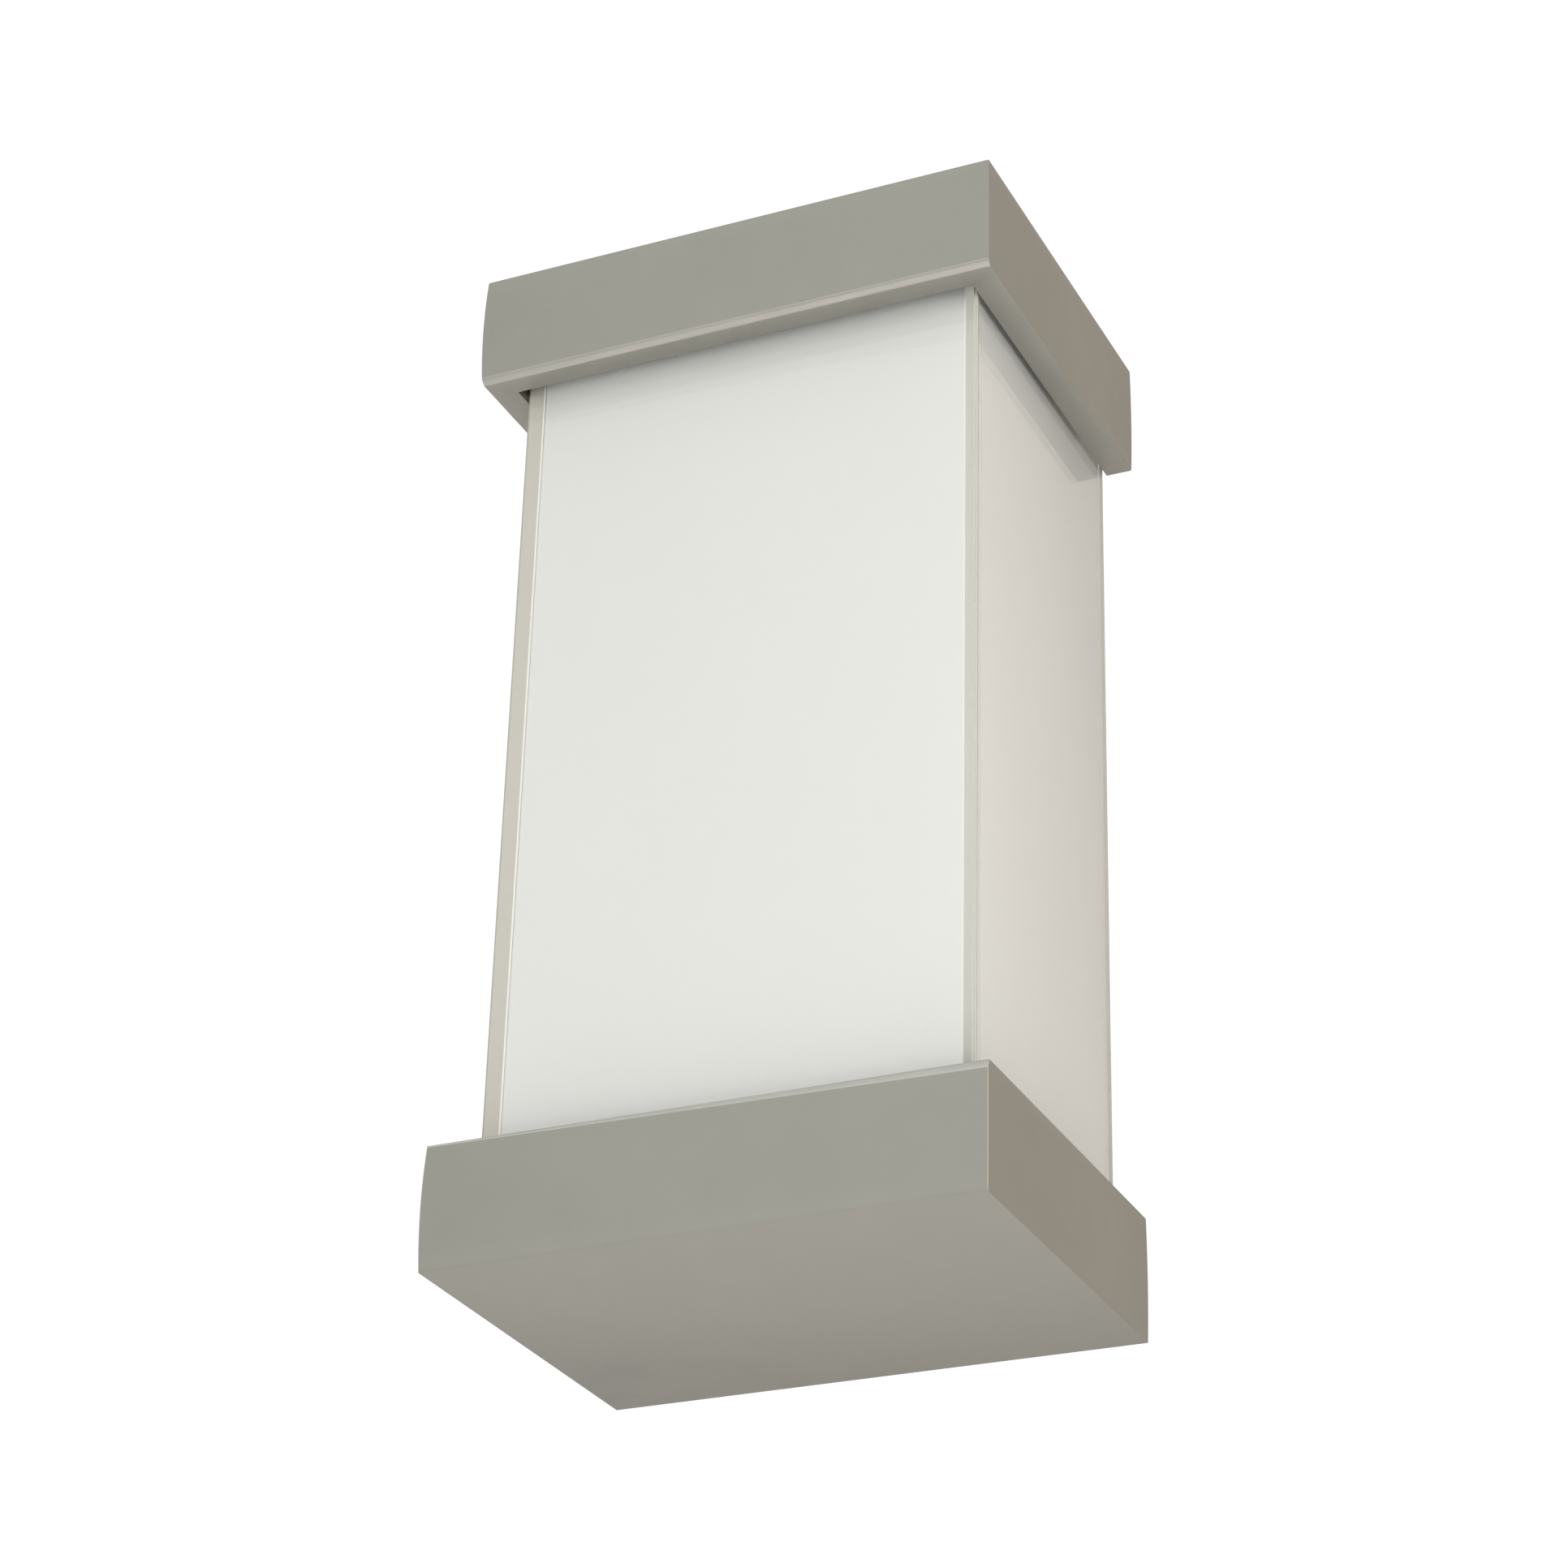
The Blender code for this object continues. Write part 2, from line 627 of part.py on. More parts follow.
# ---------------------------------------------------------------- lamp socket and wiring
def make_socket():
    """A bracket from the pan, a porcelain socket on it, its screw shell and its centre contact."""
    wide = BRACKET_HALF
    back = -PAN_DEPTH - GAP
    low, high = (-wide, LAMP_Y - BRACKET_REACH, SHELF_Z - SHEET), (wide, back, SHELF_Z)
    bracket = box("socket_bracket", low, high, GALVANISED, 0.0004, 1)
    upright = box_tool(
        (-wide + 0.0005, back - SHEET, SHELF_Z - SHEET / 2),
        (wide - 0.0005, back, SHELF_Z + BRACKET_RISE),
    )
    join(bracket, upright)
    cut(bracket, rod_tool((0, LAMP_Y, SHELF_Z), 0.0055, THROUGH))
    for name, side in sides():
        cut(bracket, rod_tool((side * SOCKET_SCREW_X, LAMP_Y, SHELF_Z), 0.0019, THROUGH, segments=16))
        cut(bracket, rod_tool((side * RIVET_X, -PAN_DEPTH, RIVET_Z), RIVET_HOLE, THROUGH, "Y", 16))
        rivet = screw_profile(0.0030, 0.0012, 0.0014, SHEET * 2 + GAP + 0.001)
        at = (side * RIVET_X, -PAN_DEPTH - SHEET - 2 * GAP, RIVET_Z)
        turned(f"bracket_rivet_{name}", rivet, at, ALUMINIUM, "-Y", steps=16)
        at = (side * SOCKET_SCREW_X, LAMP_Y, SHELF_Z - SHEET - GAP)
        screw(f"socket_screw_{name}", at, STEEL, (0.0028, 0.0018), (0.0015, 0.007), "-Z")

    low, high, floor = SOCKET_LOW, SOCKET_TOP, SOCKET_LOW + SOCKET_FLOOR
    profile = [
        (SOCKET_BORE, high),
        (SOCKET_RADIUS - SOCKET_RIM, high),
        (SOCKET_RADIUS, high - SOCKET_RIM),
        (SOCKET_RADIUS, low + SOCKET_RIM),
        (SOCKET_RADIUS - SOCKET_RIM, low),
        (0.0, low),
        (0.0, floor),
        (SOCKET_BORE, floor),
    ]
    body = turned("socket_body", profile, (0, LAMP_Y, 0), PORCELAIN, closed=True)
    for _, side in sides():
        cut(body, rod_tool((side * SOCKET_SCREW_X, LAMP_Y, low), 0.0018, 0.016, segments=16))
        cut(body, rod_tool((side * LEAD_X, LAMP_Y, low), LEAD_RADIUS + GAP, 0.008, segments=12))

    shell_low, shell_high = floor + 0.006, high - 0.001
    turned("socket_shell", screw_shell(shell_high, shell_low, 0.0148, 0.0004, 0.0006),
           (0, LAMP_Y, 0), NICKEL, closed=True, steps=20)
    half, back = CONTACT_HALF, LAMP_Y + 0.002
    low, high = (-half, LAMP_Y - 0.007, floor + GAP), (half, back, floor + 0.0008)
    contact = box("socket_contact", low, high, BRASS)
    join(contact, box_tool((-half, LAMP_Y - 0.002, floor + 0.0007), (half, back, floor + 0.0042)))


def screw_shell(high, low, radius, wall, wave):
    """A closed profile of a thin shell with rolled ridges, down its outside and back up its inside."""
    count = round((high - low) / SCREW_PITCH * 2)
    levels = [high + (low - high) * i / count for i in range(count + 1)]
    waves = [0.5 - 0.5 * math.cos(2 * math.pi * (high - z) / SCREW_PITCH) for z in levels]
    outside = [(radius - wave * depth, z) for depth, z in zip(waves, levels)]
    inside = [(r - wall, z) for r, z in reversed(outside)]
    return outside + inside


def make_wiring():
    """Two leads from the socket through a grommet to their twist-on connectors, and the ground lead."""
    profile = [
        (0.0047, 0.0022), (0.0068, 0.0022), (0.0068, 0.0004), (0.0050, 0.0004),
        (0.0050, -SHEET - 0.0004), (0.0068, -SHEET - 0.0004), (0.0068, -SHEET - 0.0022), (0.0047, -SHEET - 0.0022),
    ]
    turned("lead_grommet", profile, (0, -PAN_DEPTH, GROMMET_Z), EPDM, "-Y", closed=True, steps=20)
    for kind, side, material in (("live", -1, BLACK_LEAD), ("neutral", 1, WHITE_LEAD)):
        x = side * LEAD_X
        route = [
            (x, LAMP_Y, SOCKET_LOW + 0.003),
            (x, LAMP_Y, SHELF_Z - 0.006),
            (x, LAMP_Y + 0.005, GROMMET_Z + 0.003),
            (side * 0.0020, LAMP_Y + 0.014, GROMMET_Z),
            (side * 0.0020, -PAN_DEPTH - 0.006, GROMMET_Z),
            (side * 0.0020, -PAN_DEPTH + 0.003, GROMMET_Z),
            (side * 0.0050, HOLLOW_Y, GROMMET_Z + 0.010),
            (side * 0.0120, HOLLOW_Y, GROMMET_Z + 0.040),
            (side * 0.0190, HOLLOW_Y, -0.020),
            (side * CONNECTOR_X, HOLLOW_Y, 0.010),
            (side * CONNECTOR_X, HOLLOW_Y, CONNECTOR_Z + 0.004),
        ]
        wire(f"lead_{kind}", route, LEAD_RADIUS, material)
        connector = [
            (0.0, 0.022),
            (0.0032, 0.0215),
            (0.0042, 0.020),
            (0.0062, 0.004),
            (0.0062, 0.0),
            (0.0042, 0.0),
            (0.0036, 0.006),
            (0.0, 0.006),
        ]
        at = (side * CONNECTOR_X, HOLLOW_Y, CONNECTOR_Z)
        turned(f"wire_connector_{kind}", connector, at, CONNECTOR, steps=16)

    ground_end = (0.036, -PAN_DEPTH + SHEET + GAP + 0.0035, -0.030)
    route = [
        (GROUND_X + 0.0050, -STRAP_THICK - 0.0022, -0.001),
        (GROUND_X + 0.0085, -STRAP_THICK - 0.0040, -0.008),
        (GROUND_X + 0.0110, HOLLOW_Y, -0.022),
        (ground_end[0] - 0.008, ground_end[1] + 0.001, -0.031),
        (ground_end[0] - 0.0045, ground_end[1] - 0.001, -0.0305),
    ]
    wire("lead_ground", route, LEAD_RADIUS, GREEN_LEAD)
    seat = -PAN_DEPTH + SHEET + GAP
    head = screw_profile(0.0036, 0.0024, 0.0019, 0.0)[:-3] + [(0.0, 0.0)]
    turned("pan_ground_screw", head, (ground_end[0], seat, ground_end[2]), GREEN_SCREW, "Y", steps=16)


# ---------------------------------------------------------------- lamp
def make_bulb():
    """A pear-shaped lamp: glass envelope open at its neck, screw cap, insulator and tip contact."""
    neck_radius, neck_z = BULB_NECK, SOCKET_TOP + 0.0005
    blend_z = BULB_CENTRE - BULB_RADIUS * math.sin(math.radians(40))
    blend_radius = BULB_RADIUS * math.cos(math.radians(40))
    dome = [
        (BULB_RADIUS * math.cos(a), BULB_CENTRE + BULB_RADIUS * math.sin(a))
        for a in (math.radians(90 - 13 * i) for i in range(11))
    ]
    dome[0] = (0.0, BULB_TOP)
    flank = []
    for i in range(1, 5):
        t = i / 5
        ease = t * t * (3 - 2 * t)
        straight = blend_radius + (neck_radius - blend_radius) * t
        eased = blend_radius + (neck_radius - blend_radius) * ease
        flank.append(((straight + eased) / 2, blend_z + (neck_z - blend_z) * t))
    outside = dome + flank + [(neck_radius, neck_z)]
    inside = [
        (max(r - BULB_WALL, 0.0), z - BULB_WALL * max(0.0, (z - BULB_CENTRE) / BULB_RADIUS)) for r, z in outside
    ]
    turned("bulb_globe", outside + inside[::-1], (0, LAMP_Y, 0), BULB_WHITE)

    cap_high, cap_low = neck_z - GAP, BULB_TIP + 0.0050
    turned("bulb_cap", screw_shell(cap_high, cap_low, 0.01310, 0.0008, 0.0009),
           (0, LAMP_Y, 0), NICKEL, closed=True, steps=20)
    insulator = [
        (0.0, cap_low + 0.001),
        (0.0108, cap_low + 0.001),
        (0.0108, cap_low - GAP),
        (0.0062, BULB_TIP + 0.0010),
        (0.0, BULB_TIP + 0.0010),
    ]
    turned("bulb_insulator", insulator, (0, LAMP_Y, 0), BLACK_GLASS, steps=20)
    tip = [(0.0, 0.0007), (0.0045, 0.0007), (0.0036, 0.0002), (0.0, 0.0)]
    turned("bulb_tip", tip, (0, LAMP_Y, BULB_TIP), NICKEL, steps=16)


# ---------------------------------------------------------------- build
TURN = {
    "Z": (0.0, 0.0, 0.0),
    "-Z": (math.pi, 0.0, 0.0),
    "Y": (-math.pi / 2, 0.0, 0.0),
    "-Y": (math.pi / 2, 0.0, 0.0),
}

clear_scene()
LANTERN = make_collection("outdoor_wall_lantern")
TOOLS = make_collection("cutting_tools")

SATIN_NICKEL = make_material("satin_nickel", (0.36, 0.35, 0.31), 0.38, 0.85)
CLEAR_GLASS = make_material("clear_glass", (0.93, 0.96, 0.93), 0.02, 0.0, 0.95)
OPAL_GLASS = make_material("opal_glass", (0.83, 0.82, 0.78), 0.35)
WHITE_PAINT = make_material("white_paint", (0.80, 0.80, 0.77), 0.45)
GALVANISED = make_material("galvanised_steel", (0.55, 0.56, 0.57), 0.42, 0.9)
STEEL = make_material("zinc_plated_steel", (0.60, 0.60, 0.60), 0.30, 1.0)
ALUMINIUM = make_material("aluminium", (0.70, 0.70, 0.71), 0.35, 1.0)
NICKEL = make_material("nickel_plate", (0.66, 0.64, 0.60), 0.25, 1.0)
BRASS = make_material("brass", (0.72, 0.55, 0.26), 0.30, 1.0)
PORCELAIN = make_material("glazed_porcelain", (0.85, 0.84, 0.80), 0.15)
EPDM = make_material("black_rubber", (0.03, 0.03, 0.03), 0.80)
FOAM = make_material("grey_foam", (0.12, 0.12, 0.12), 0.95)
BULB_WHITE = make_material("bulb_glass", (0.90, 0.90, 0.87), 0.30)
BLACK_GLASS = make_material("black_glass", (0.02, 0.02, 0.02), 0.20)
BLACK_LEAD = make_material("black_lead", (0.02, 0.02, 0.02), 0.50)
WHITE_LEAD = make_material("white_lead", (0.80, 0.80, 0.78), 0.50)
GREEN_LEAD = make_material("green_lead", (0.04, 0.25, 0.07), 0.50)
GREEN_SCREW = make_material("green_screw", (0.05, 0.30, 0.10), 0.35, 0.6)
CONNECTOR = make_material("connector_plastic", (0.65, 0.16, 0.03), 0.45)

make_cap()
make_base()
glass_box("clear_glass", GLASS_HALF, GLASS_FRONT, GLASS_THICK, GLASS_ARRIS, CLEAR_GLASS)
glass_box("opal_liner", OPAL_HALF, OPAL_FRONT, OPAL_THICK, OPAL_ARRIS, OPAL_GLASS)
make_glass_pad()
make_pan()
make_base_frame()
make_top_frame()
make_standoffs()
make_thumb_screws()
make_clips()
make_wall_fixing()
make_socket()
make_wiring()
make_bulb()
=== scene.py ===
"""Looks of the outdoor wall lantern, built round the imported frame. Metres, +Z up, -Y to the front."""
import json
import math

import bmesh
import bpy
from mathutils import Matrix, Vector


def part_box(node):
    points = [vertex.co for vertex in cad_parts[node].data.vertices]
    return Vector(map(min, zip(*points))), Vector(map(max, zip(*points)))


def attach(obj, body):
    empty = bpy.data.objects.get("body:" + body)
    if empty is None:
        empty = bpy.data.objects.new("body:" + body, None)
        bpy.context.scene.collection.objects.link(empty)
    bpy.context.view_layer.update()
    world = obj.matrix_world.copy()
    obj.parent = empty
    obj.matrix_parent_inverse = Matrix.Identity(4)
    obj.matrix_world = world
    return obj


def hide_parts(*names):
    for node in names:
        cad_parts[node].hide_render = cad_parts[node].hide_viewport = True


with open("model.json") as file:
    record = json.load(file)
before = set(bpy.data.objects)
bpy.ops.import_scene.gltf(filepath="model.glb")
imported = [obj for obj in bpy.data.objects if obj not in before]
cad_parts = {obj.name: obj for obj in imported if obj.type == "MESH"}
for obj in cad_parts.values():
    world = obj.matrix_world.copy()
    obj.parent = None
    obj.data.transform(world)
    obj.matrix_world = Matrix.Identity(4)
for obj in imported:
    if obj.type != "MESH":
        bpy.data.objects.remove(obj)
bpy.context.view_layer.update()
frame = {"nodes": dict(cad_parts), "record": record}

NODES = frame["nodes"]
SLOT_OF = {part["node"]: part["material_slot"] for part in frame["record"]["subparts"]}
BODY_OF = {
    node: body for body, nodes in frame["record"]["behaviour"]["bodies"].items() for node in nodes
}
SIDES = {"left": -1, "right": 1}

# ---- camera, floor, light
CAMERA_PLACE = (0.4097, -0.9444, -0.5141)
CAMERA_AZIMUTH = math.radians(25.07)
CAMERA_ELEVATION = math.radians(-27.77)  # the camera looks up
CAMERA_ROLL = math.radians(1.59)
CAMERA_LENS = 91.8
FLOOR_Z = -1.25
FLOOR_HALF = 6.0
FLOOR_FADE = (0.8, 2.6)  # how far out it starts to fade, and is white
ROOM = (0.35, 0.35, 0.34)
ROOM_FILL = 0.42  # share of the room that matte surfaces are lit by
# each soft glow's direction, how near to it the glow starts and is full, and its colour
ROOM_GLOWS = (
    ((-0.33, -0.76, 0.56), 0.30, 0.85, (0.86, 0.88, 0.865)),
    ((0.36, 0.80, 0.47), 0.40, 0.85, (0.60, 0.54, 0.48)),
    ((0.85, -0.40, 0.35), 0.60, 0.90, (0.90, 0.88, 0.83)),
)


def make_camera():
    data = bpy.data.cameras.new("camera")
    data.lens = CAMERA_LENS
    data.sensor_width = 36
    data.clip_start = 0.01
    camera = bpy.data.objects.new("camera", data)
    bpy.context.scene.collection.objects.link(camera)
    az, el, roll = CAMERA_AZIMUTH, CAMERA_ELEVATION, CAMERA_ROLL
    forward = Vector((-math.sin(az) * math.cos(el), math.cos(az) * math.cos(el), -math.sin(el)))
    level = Vector((math.cos(az), math.sin(az), 0))
    upward = level.cross(forward)
    right = math.cos(roll) * level + math.sin(roll) * upward
    up = math.cos(roll) * upward - math.sin(roll) * level
    turn = Matrix((right, up, -forward)).transposed().to_4x4()
    camera.matrix_world = Matrix.Translation(CAMERA_PLACE) @ turn
    bpy.context.scene.camera = camera


def area_light(name, place, aim, size, watts, colour, height=None):
    """A soft light that is never seen itself, nor mirrored in the glass and metal."""
    data = bpy.data.lights.new(name, "AREA")
    data.shape = "RECTANGLE"
    data.size = size
    data.size_y = height or size
    data.energy = watts
    data.color = colour
    light = bpy.data.objects.new(name, data)
    bpy.context.scene.collection.objects.link(light)
    light.location = place
    light.rotation_euler = (Vector(aim) - Vector(place)).to_track_quat("-Z", "Y").to_euler()
    light.visible_camera = False
    light.visible_glossy = False
    light.visible_transmission = False


def make_world():
    """White for the camera. The object sees and is lit by a soft room."""
    world = bpy.data.worlds.new("studio")
    bpy.context.scene.world = world
    world.use_nodes = True
    tree = world.node_tree
    tree.nodes.clear()

    def node(kind, **values):
        item = tree.nodes.new(kind)
        for key, value in values.items():
            item.inputs[key.replace("_", " ")].default_value = value
        return item

    place = node("ShaderNodeTexCoord")
    tone = tree.nodes.new("ShaderNodeRGB").outputs[0]
    tone.default_value = (*ROOM, 1)
    for aim, start, full, colour in ROOM_GLOWS:
        facing = tree.nodes.new("ShaderNodeVectorMath")
        facing.operation = "DOT_PRODUCT"
        facing.inputs[1].default_value = Vector(aim).normalized()
        tree.links.new(place.outputs["Generated"], facing.inputs[0])
        span = node("ShaderNodeMapRange", From_Min=start, From_Max=full)
        span.interpolation_type = "SMOOTHSTEP"
        tree.links.new(facing.outputs["Value"], span.inputs["Value"])
        mix = tree.nodes.new("ShaderNodeMix")
        mix.data_type = "RGBA"
        tree.links.new(span.outputs[0], mix.inputs["Factor"])
        tree.links.new(tone, mix.inputs[6])
        mix.inputs[7].default_value = (*colour, 1)
        tone = mix.outputs[2]
    path = node("ShaderNodeLightPath")
    fill = node("ShaderNodeMapRange", To_Min=1.0, To_Max=ROOM_FILL)
    tree.links.new(path.outputs["Is Diffuse Ray"], fill.inputs["Value"])
    lit = node("ShaderNodeBackground")
    tree.links.new(tone, lit.inputs["Color"])
    tree.links.new(fill.outputs[0], lit.inputs["Strength"])
    shown = node("ShaderNodeBackground", Color=(1, 1, 1, 1), Strength=1.05)
    mix = node("ShaderNodeMixShader")
    out = node("ShaderNodeOutputWorld")
    tree.links.new(path.outputs["Is Camera Ray"], mix.inputs["Fac"])
    tree.links.new(lit.outputs[0], mix.inputs[1])
    tree.links.new(shown.outputs[0], mix.inputs[2])
    tree.links.new(mix.outputs[0], out.inputs["Surface"])


def make_studio():
    make_world()
    area_light("low", (-0.5, -1.65, -0.72), (0, -0.05, 0), 2.0, 11.4, (0.975, 0.985, 0.975), 0.9)
    area_light("right", (1.0, -0.75, 0.0), (0.07, -0.05, 0), 0.6, 8.9, (1.0, 0.97, 0.92))
    area_light("sweep", (-0.4, 0.6, -0.75), (-0.4, 0.6, FLOOR_Z), 6.4, 72, (1.0, 0.98, 0.975))
    mesh = bpy.data.meshes.new("floor")
    corners = [(x * FLOOR_HALF, y * FLOOR_HALF, 0) for x, y in ((-1, -1), (1, -1), (1, 1), (-1, 1))]
    mesh.from_pydata(corners, [], [(0, 1, 2, 3)])
    floor = bpy.data.objects.new("floor", mesh)
    floor.location.z = FLOOR_Z
    bpy.context.scene.collection.objects.link(floor)
    floor.data.materials.append(floor_material())
    scene = bpy.context.scene
    scene.view_settings.view_transform = "Standard"
    scene.view_settings.look = "None"
    scene.cycles.max_bounces = 32
    scene.cycles.transmission_bounces = 28
    scene.cycles.transparent_max_bounces = 16
    scene.cycles.glossy_bounces = 8
    scene.cycles.caustics_reflective = False
    scene.cycles.caustics_refractive = False


# ---- node helpers
class Tree:
    """A material's node tree with short calls for the nodes used here."""

    def __init__(self, name, material=None):
        self.material = material or bpy.data.materials.new(name)
        self.material.use_nodes = True
        self.tree = self.material.node_tree
        self.shader = self.tree.nodes["Principled BSDF"]
        self.out = self.tree.nodes["Material Output"]
        self.place = self.node("ShaderNodeTexCoord").outputs["Object"]

    def node(self, kind, **settings):
        item = self.tree.nodes.new(kind)
        for key, value in settings.items():
            setattr(item, key, value)
        return item

    def link(self, source, target):
        self.tree.links.new(source, target)

    def set(self, **values):
        for key, value in values.items():
            socket = self.shader.inputs[key.replace("_", " ")]
            if isinstance(value, bpy.types.NodeSocket):
                self.link(value, socket)
            elif isinstance(value, tuple) and len(value) == 3 and socket.type == "RGBA":
                socket.default_value = (*value, 1)
            else:
                socket.default_value = value

    def stretched(self, scale):
        mapping = self.node("ShaderNodeMapping")
        mapping.inputs["Scale"].default_value = scale
        self.link(self.place, mapping.inputs["Vector"])
        return mapping.outputs["Vector"]

    def noise(self, size, detail=3.0, rough=0.5, stretch=(1, 1, 1)):
        """Noise whose features are about size metres across."""
        texture = self.node("ShaderNodeTexNoise")
        texture.inputs["Scale"].default_value = 1.0 / size
        texture.inputs["Detail"].default_value = detail
        texture.inputs["Roughness"].default_value = rough
        self.link(self.stretched(stretch), texture.inputs["Vector"])
        return texture.outputs["Fac"]

    def ramp(self, value, low, high, low_at=0.3, high_at=0.7):
        """A value from 0 to 1 turned into a range of numbers."""
        item = self.node("ShaderNodeMapRange")
        item.inputs["From Min"].default_value = low_at
        item.inputs["From Max"].default_value = high_at
        item.inputs["To Min"].default_value = low
        item.inputs["To Max"].default_value = high
        self.link(value, item.inputs["Value"])
        return item.outputs["Result"]

    def blend(self, value, first, second):
        item = self.node("ShaderNodeMix", data_type="RGBA")
        self.link(value, item.inputs["Factor"])
        for socket, colour in ((item.inputs[6], first), (item.inputs[7], second)):
            if isinstance(colour, bpy.types.NodeSocket):
                self.link(colour, socket)
            else:
                socket.default_value = (*colour, 1)
        return item.outputs[2]

    def bump(self, height, depth, strength):
        item = self.node("ShaderNodeBump")
        item.inputs["Distance"].default_value = depth
        item.inputs["Strength"].default_value = strength
        self.link(height, item.inputs["Height"])
        return item.outputs["Normal"]

    def pass_light(self, tint):
        """Light on its way to a lamp or off a matte surface goes straight through, tinted."""
        clear = self.node("ShaderNodeBsdfTransparent")
        clear.inputs["Color"].default_value = (*tint, 1)
        path = self.node("ShaderNodeLightPath")
        either = self.node("ShaderNodeMath", operation="MAXIMUM")
        self.link(path.outputs["Is Shadow Ray"], either.inputs[0])
        self.link(path.outputs["Is Diffuse Ray"], either.inputs[1])
        mix = self.node("ShaderNodeMixShader")
        self.link(either.outputs[0], mix.inputs["Fac"])
        self.link(self.shader.outputs[0], mix.inputs[1])
        self.link(clear.outputs[0], mix.inputs[2])
        self.link(mix.outputs[0], self.out.inputs["Surface"])

    def edge(self, reach, gain=1.0):
        """Close to 1 at outer edges, 0 on flats: the mask for edges painted lighter, a painted
        highlight.
        """
        geometry = self.node("ShaderNodeNewGeometry")
        return self.ramp(geometry.outputs["Pointiness"], 0.0, gain, 0.5, 0.5 + reach)


def shade(colour, factor):
    return tuple(min(1.0, c * factor) for c in colour)


# ---- materials
def floor_material():
    """Pale and matte. Where the light gives out, the camera sees it fade into the white of the room."""
    t = Tree("floor")
    t.set(Base_Color=t.blend(t.noise(0.5), (0.86, 0.85, 0.84), (0.89, 0.88, 0.88)), Roughness=0.8)
    distance = t.node("ShaderNodeVectorMath", operation="LENGTH")
    t.link(t.place, distance.inputs[0])
    path = t.node("ShaderNodeLightPath")
    far = t.node("ShaderNodeMath", operation="MULTIPLY")
    t.link(t.ramp(distance.outputs["Value"], 0.0, 1.0, *FLOOR_FADE), far.inputs[0])
    t.link(path.outputs["Is Camera Ray"], far.inputs[1])
    white = t.node("ShaderNodeEmission")
    mix = t.node("ShaderNodeMixShader")
    t.link(far.outputs[0], mix.inputs["Fac"])
    t.link(t.shader.outputs[0], mix.inputs[1])
    t.link(white.outputs[0], mix.inputs[2])
    t.link(mix.outputs[0], t.out.inputs["Surface"])
    return t.material


def satin_nickel():
    """Bead-blasted, plated metal: a fine grain, faint clouds of tone, and edges painted a little
    lighter, a painted highlight.
    """
    t = Tree("satin_nickel")
    colour = (0.365, 0.358, 0.322)
    clouds = t.blend(t.noise(0.045, 2.0), shade(colour, 0.97), shade(colour, 1.03))
    grain = t.blend(t.noise(0.0006, 2.0, 0.6), shade(colour, 0.94), shade(colour, 1.06))
    base = t.blend(t.noise(0.012, 4.0, 0.6), clouds, grain)
    # outer edges painted lighter: a painted highlight
    base = t.blend(t.edge(0.06, 0.5), base, shade(colour, 1.25))
    t.set(Base_Color=base, Metallic=0.82, Roughness=t.ramp(t.noise(0.02, 4.0, 0.6), 0.40, 0.48))
    t.set(Normal=t.bump(t.noise(0.00035, 2.0, 0.7), 0.00002, 0.5))
    return t.material


def highlight_nickel(name, colour):
    """The same metal, lighter where a highlight falls on an edge: a painted highlight, smoother, with
    fine strokes.
    """
    t = Tree(name)
    tone = t.blend(t.noise(0.008, 4.0, 0.6, (0.3, 1, 3)), shade(colour, 0.92), shade(colour, 1.08))
    t.set(Base_Color=tone, Metallic=0.82, Roughness=t.ramp(t.noise(0.006, 4.0, 0.6), 0.32, 0.44))
    t.set(Normal=t.bump(t.noise(0.0004, 2.0, 0.7, (0.1, 1, 1)), 0.00002, 0.5))
    return t.material


def clear_glass():
    """Polished float glass. Light on its way to the opal passes it, slightly dimmed."""
    t = Tree("clear_glass")
    t.set(Base_Color=(0.99, 0.992, 0.985), Roughness=0.0, IOR=1.5, Transmission_Weight=1.0)
    t.pass_light((0.955, 0.955, 0.948))
    return t.material


def ground_edge(name, colour):
    """The matte, ground edge of a pane: it scatters what is seen, and still lets light into the box."""
    material = plain(name, colour, 0.0, 0.55, 0.0003, 0.00002, 0.04)
    t = Tree(name, material)
    t.pass_light((0.98, 0.98, 0.975))
    return material


def opal_glass():
    """White flashed glass, matte on its outer face, with a barely visible mottle."""
    t = Tree("opal_glass")
    colour = t.blend(t.noise(0.05, 3.0), (0.808, 0.818, 0.812), (0.826, 0.838, 0.833))
    t.set(Base_Color=colour, Roughness=t.ramp(t.noise(0.01, 3.0), 0.30, 0.42), Specular_IOR_Level=0.3)
    t.set(Subsurface_Weight=0.12, Subsurface_Scale=0.002, Subsurface_Radius=(1.0, 1.0, 1.0))
    t.set(Normal=t.bump(t.noise(0.004, 2.0), 0.00002, 0.3))
    return t.material


def plain(name, colour, metallic, rough, grain=0.0008, depth=0.00002, vary=0.08):
    """A metal, paint or plastic with tone, roughness and a fine surface that vary at real scale."""
    t = Tree(name)
    tone = t.blend(t.noise(0.01, 4.0, 0.6), shade(colour, 1 - vary), shade(colour, 1 + vary))
    # outer edges painted lighter: a painted highlight
    t.set(Base_Color=t.blend(t.edge(0.08, 0.5), tone, shade(colour, 1.3)), Metallic=metallic)
    t.set(Roughness=t.ramp(t.noise(0.006, 4.0), rough - 0.06, rough + 0.08))
    t.set(Normal=t.bump(t.noise(grain, 3.0, 0.6), depth, 0.5))
    return t.material


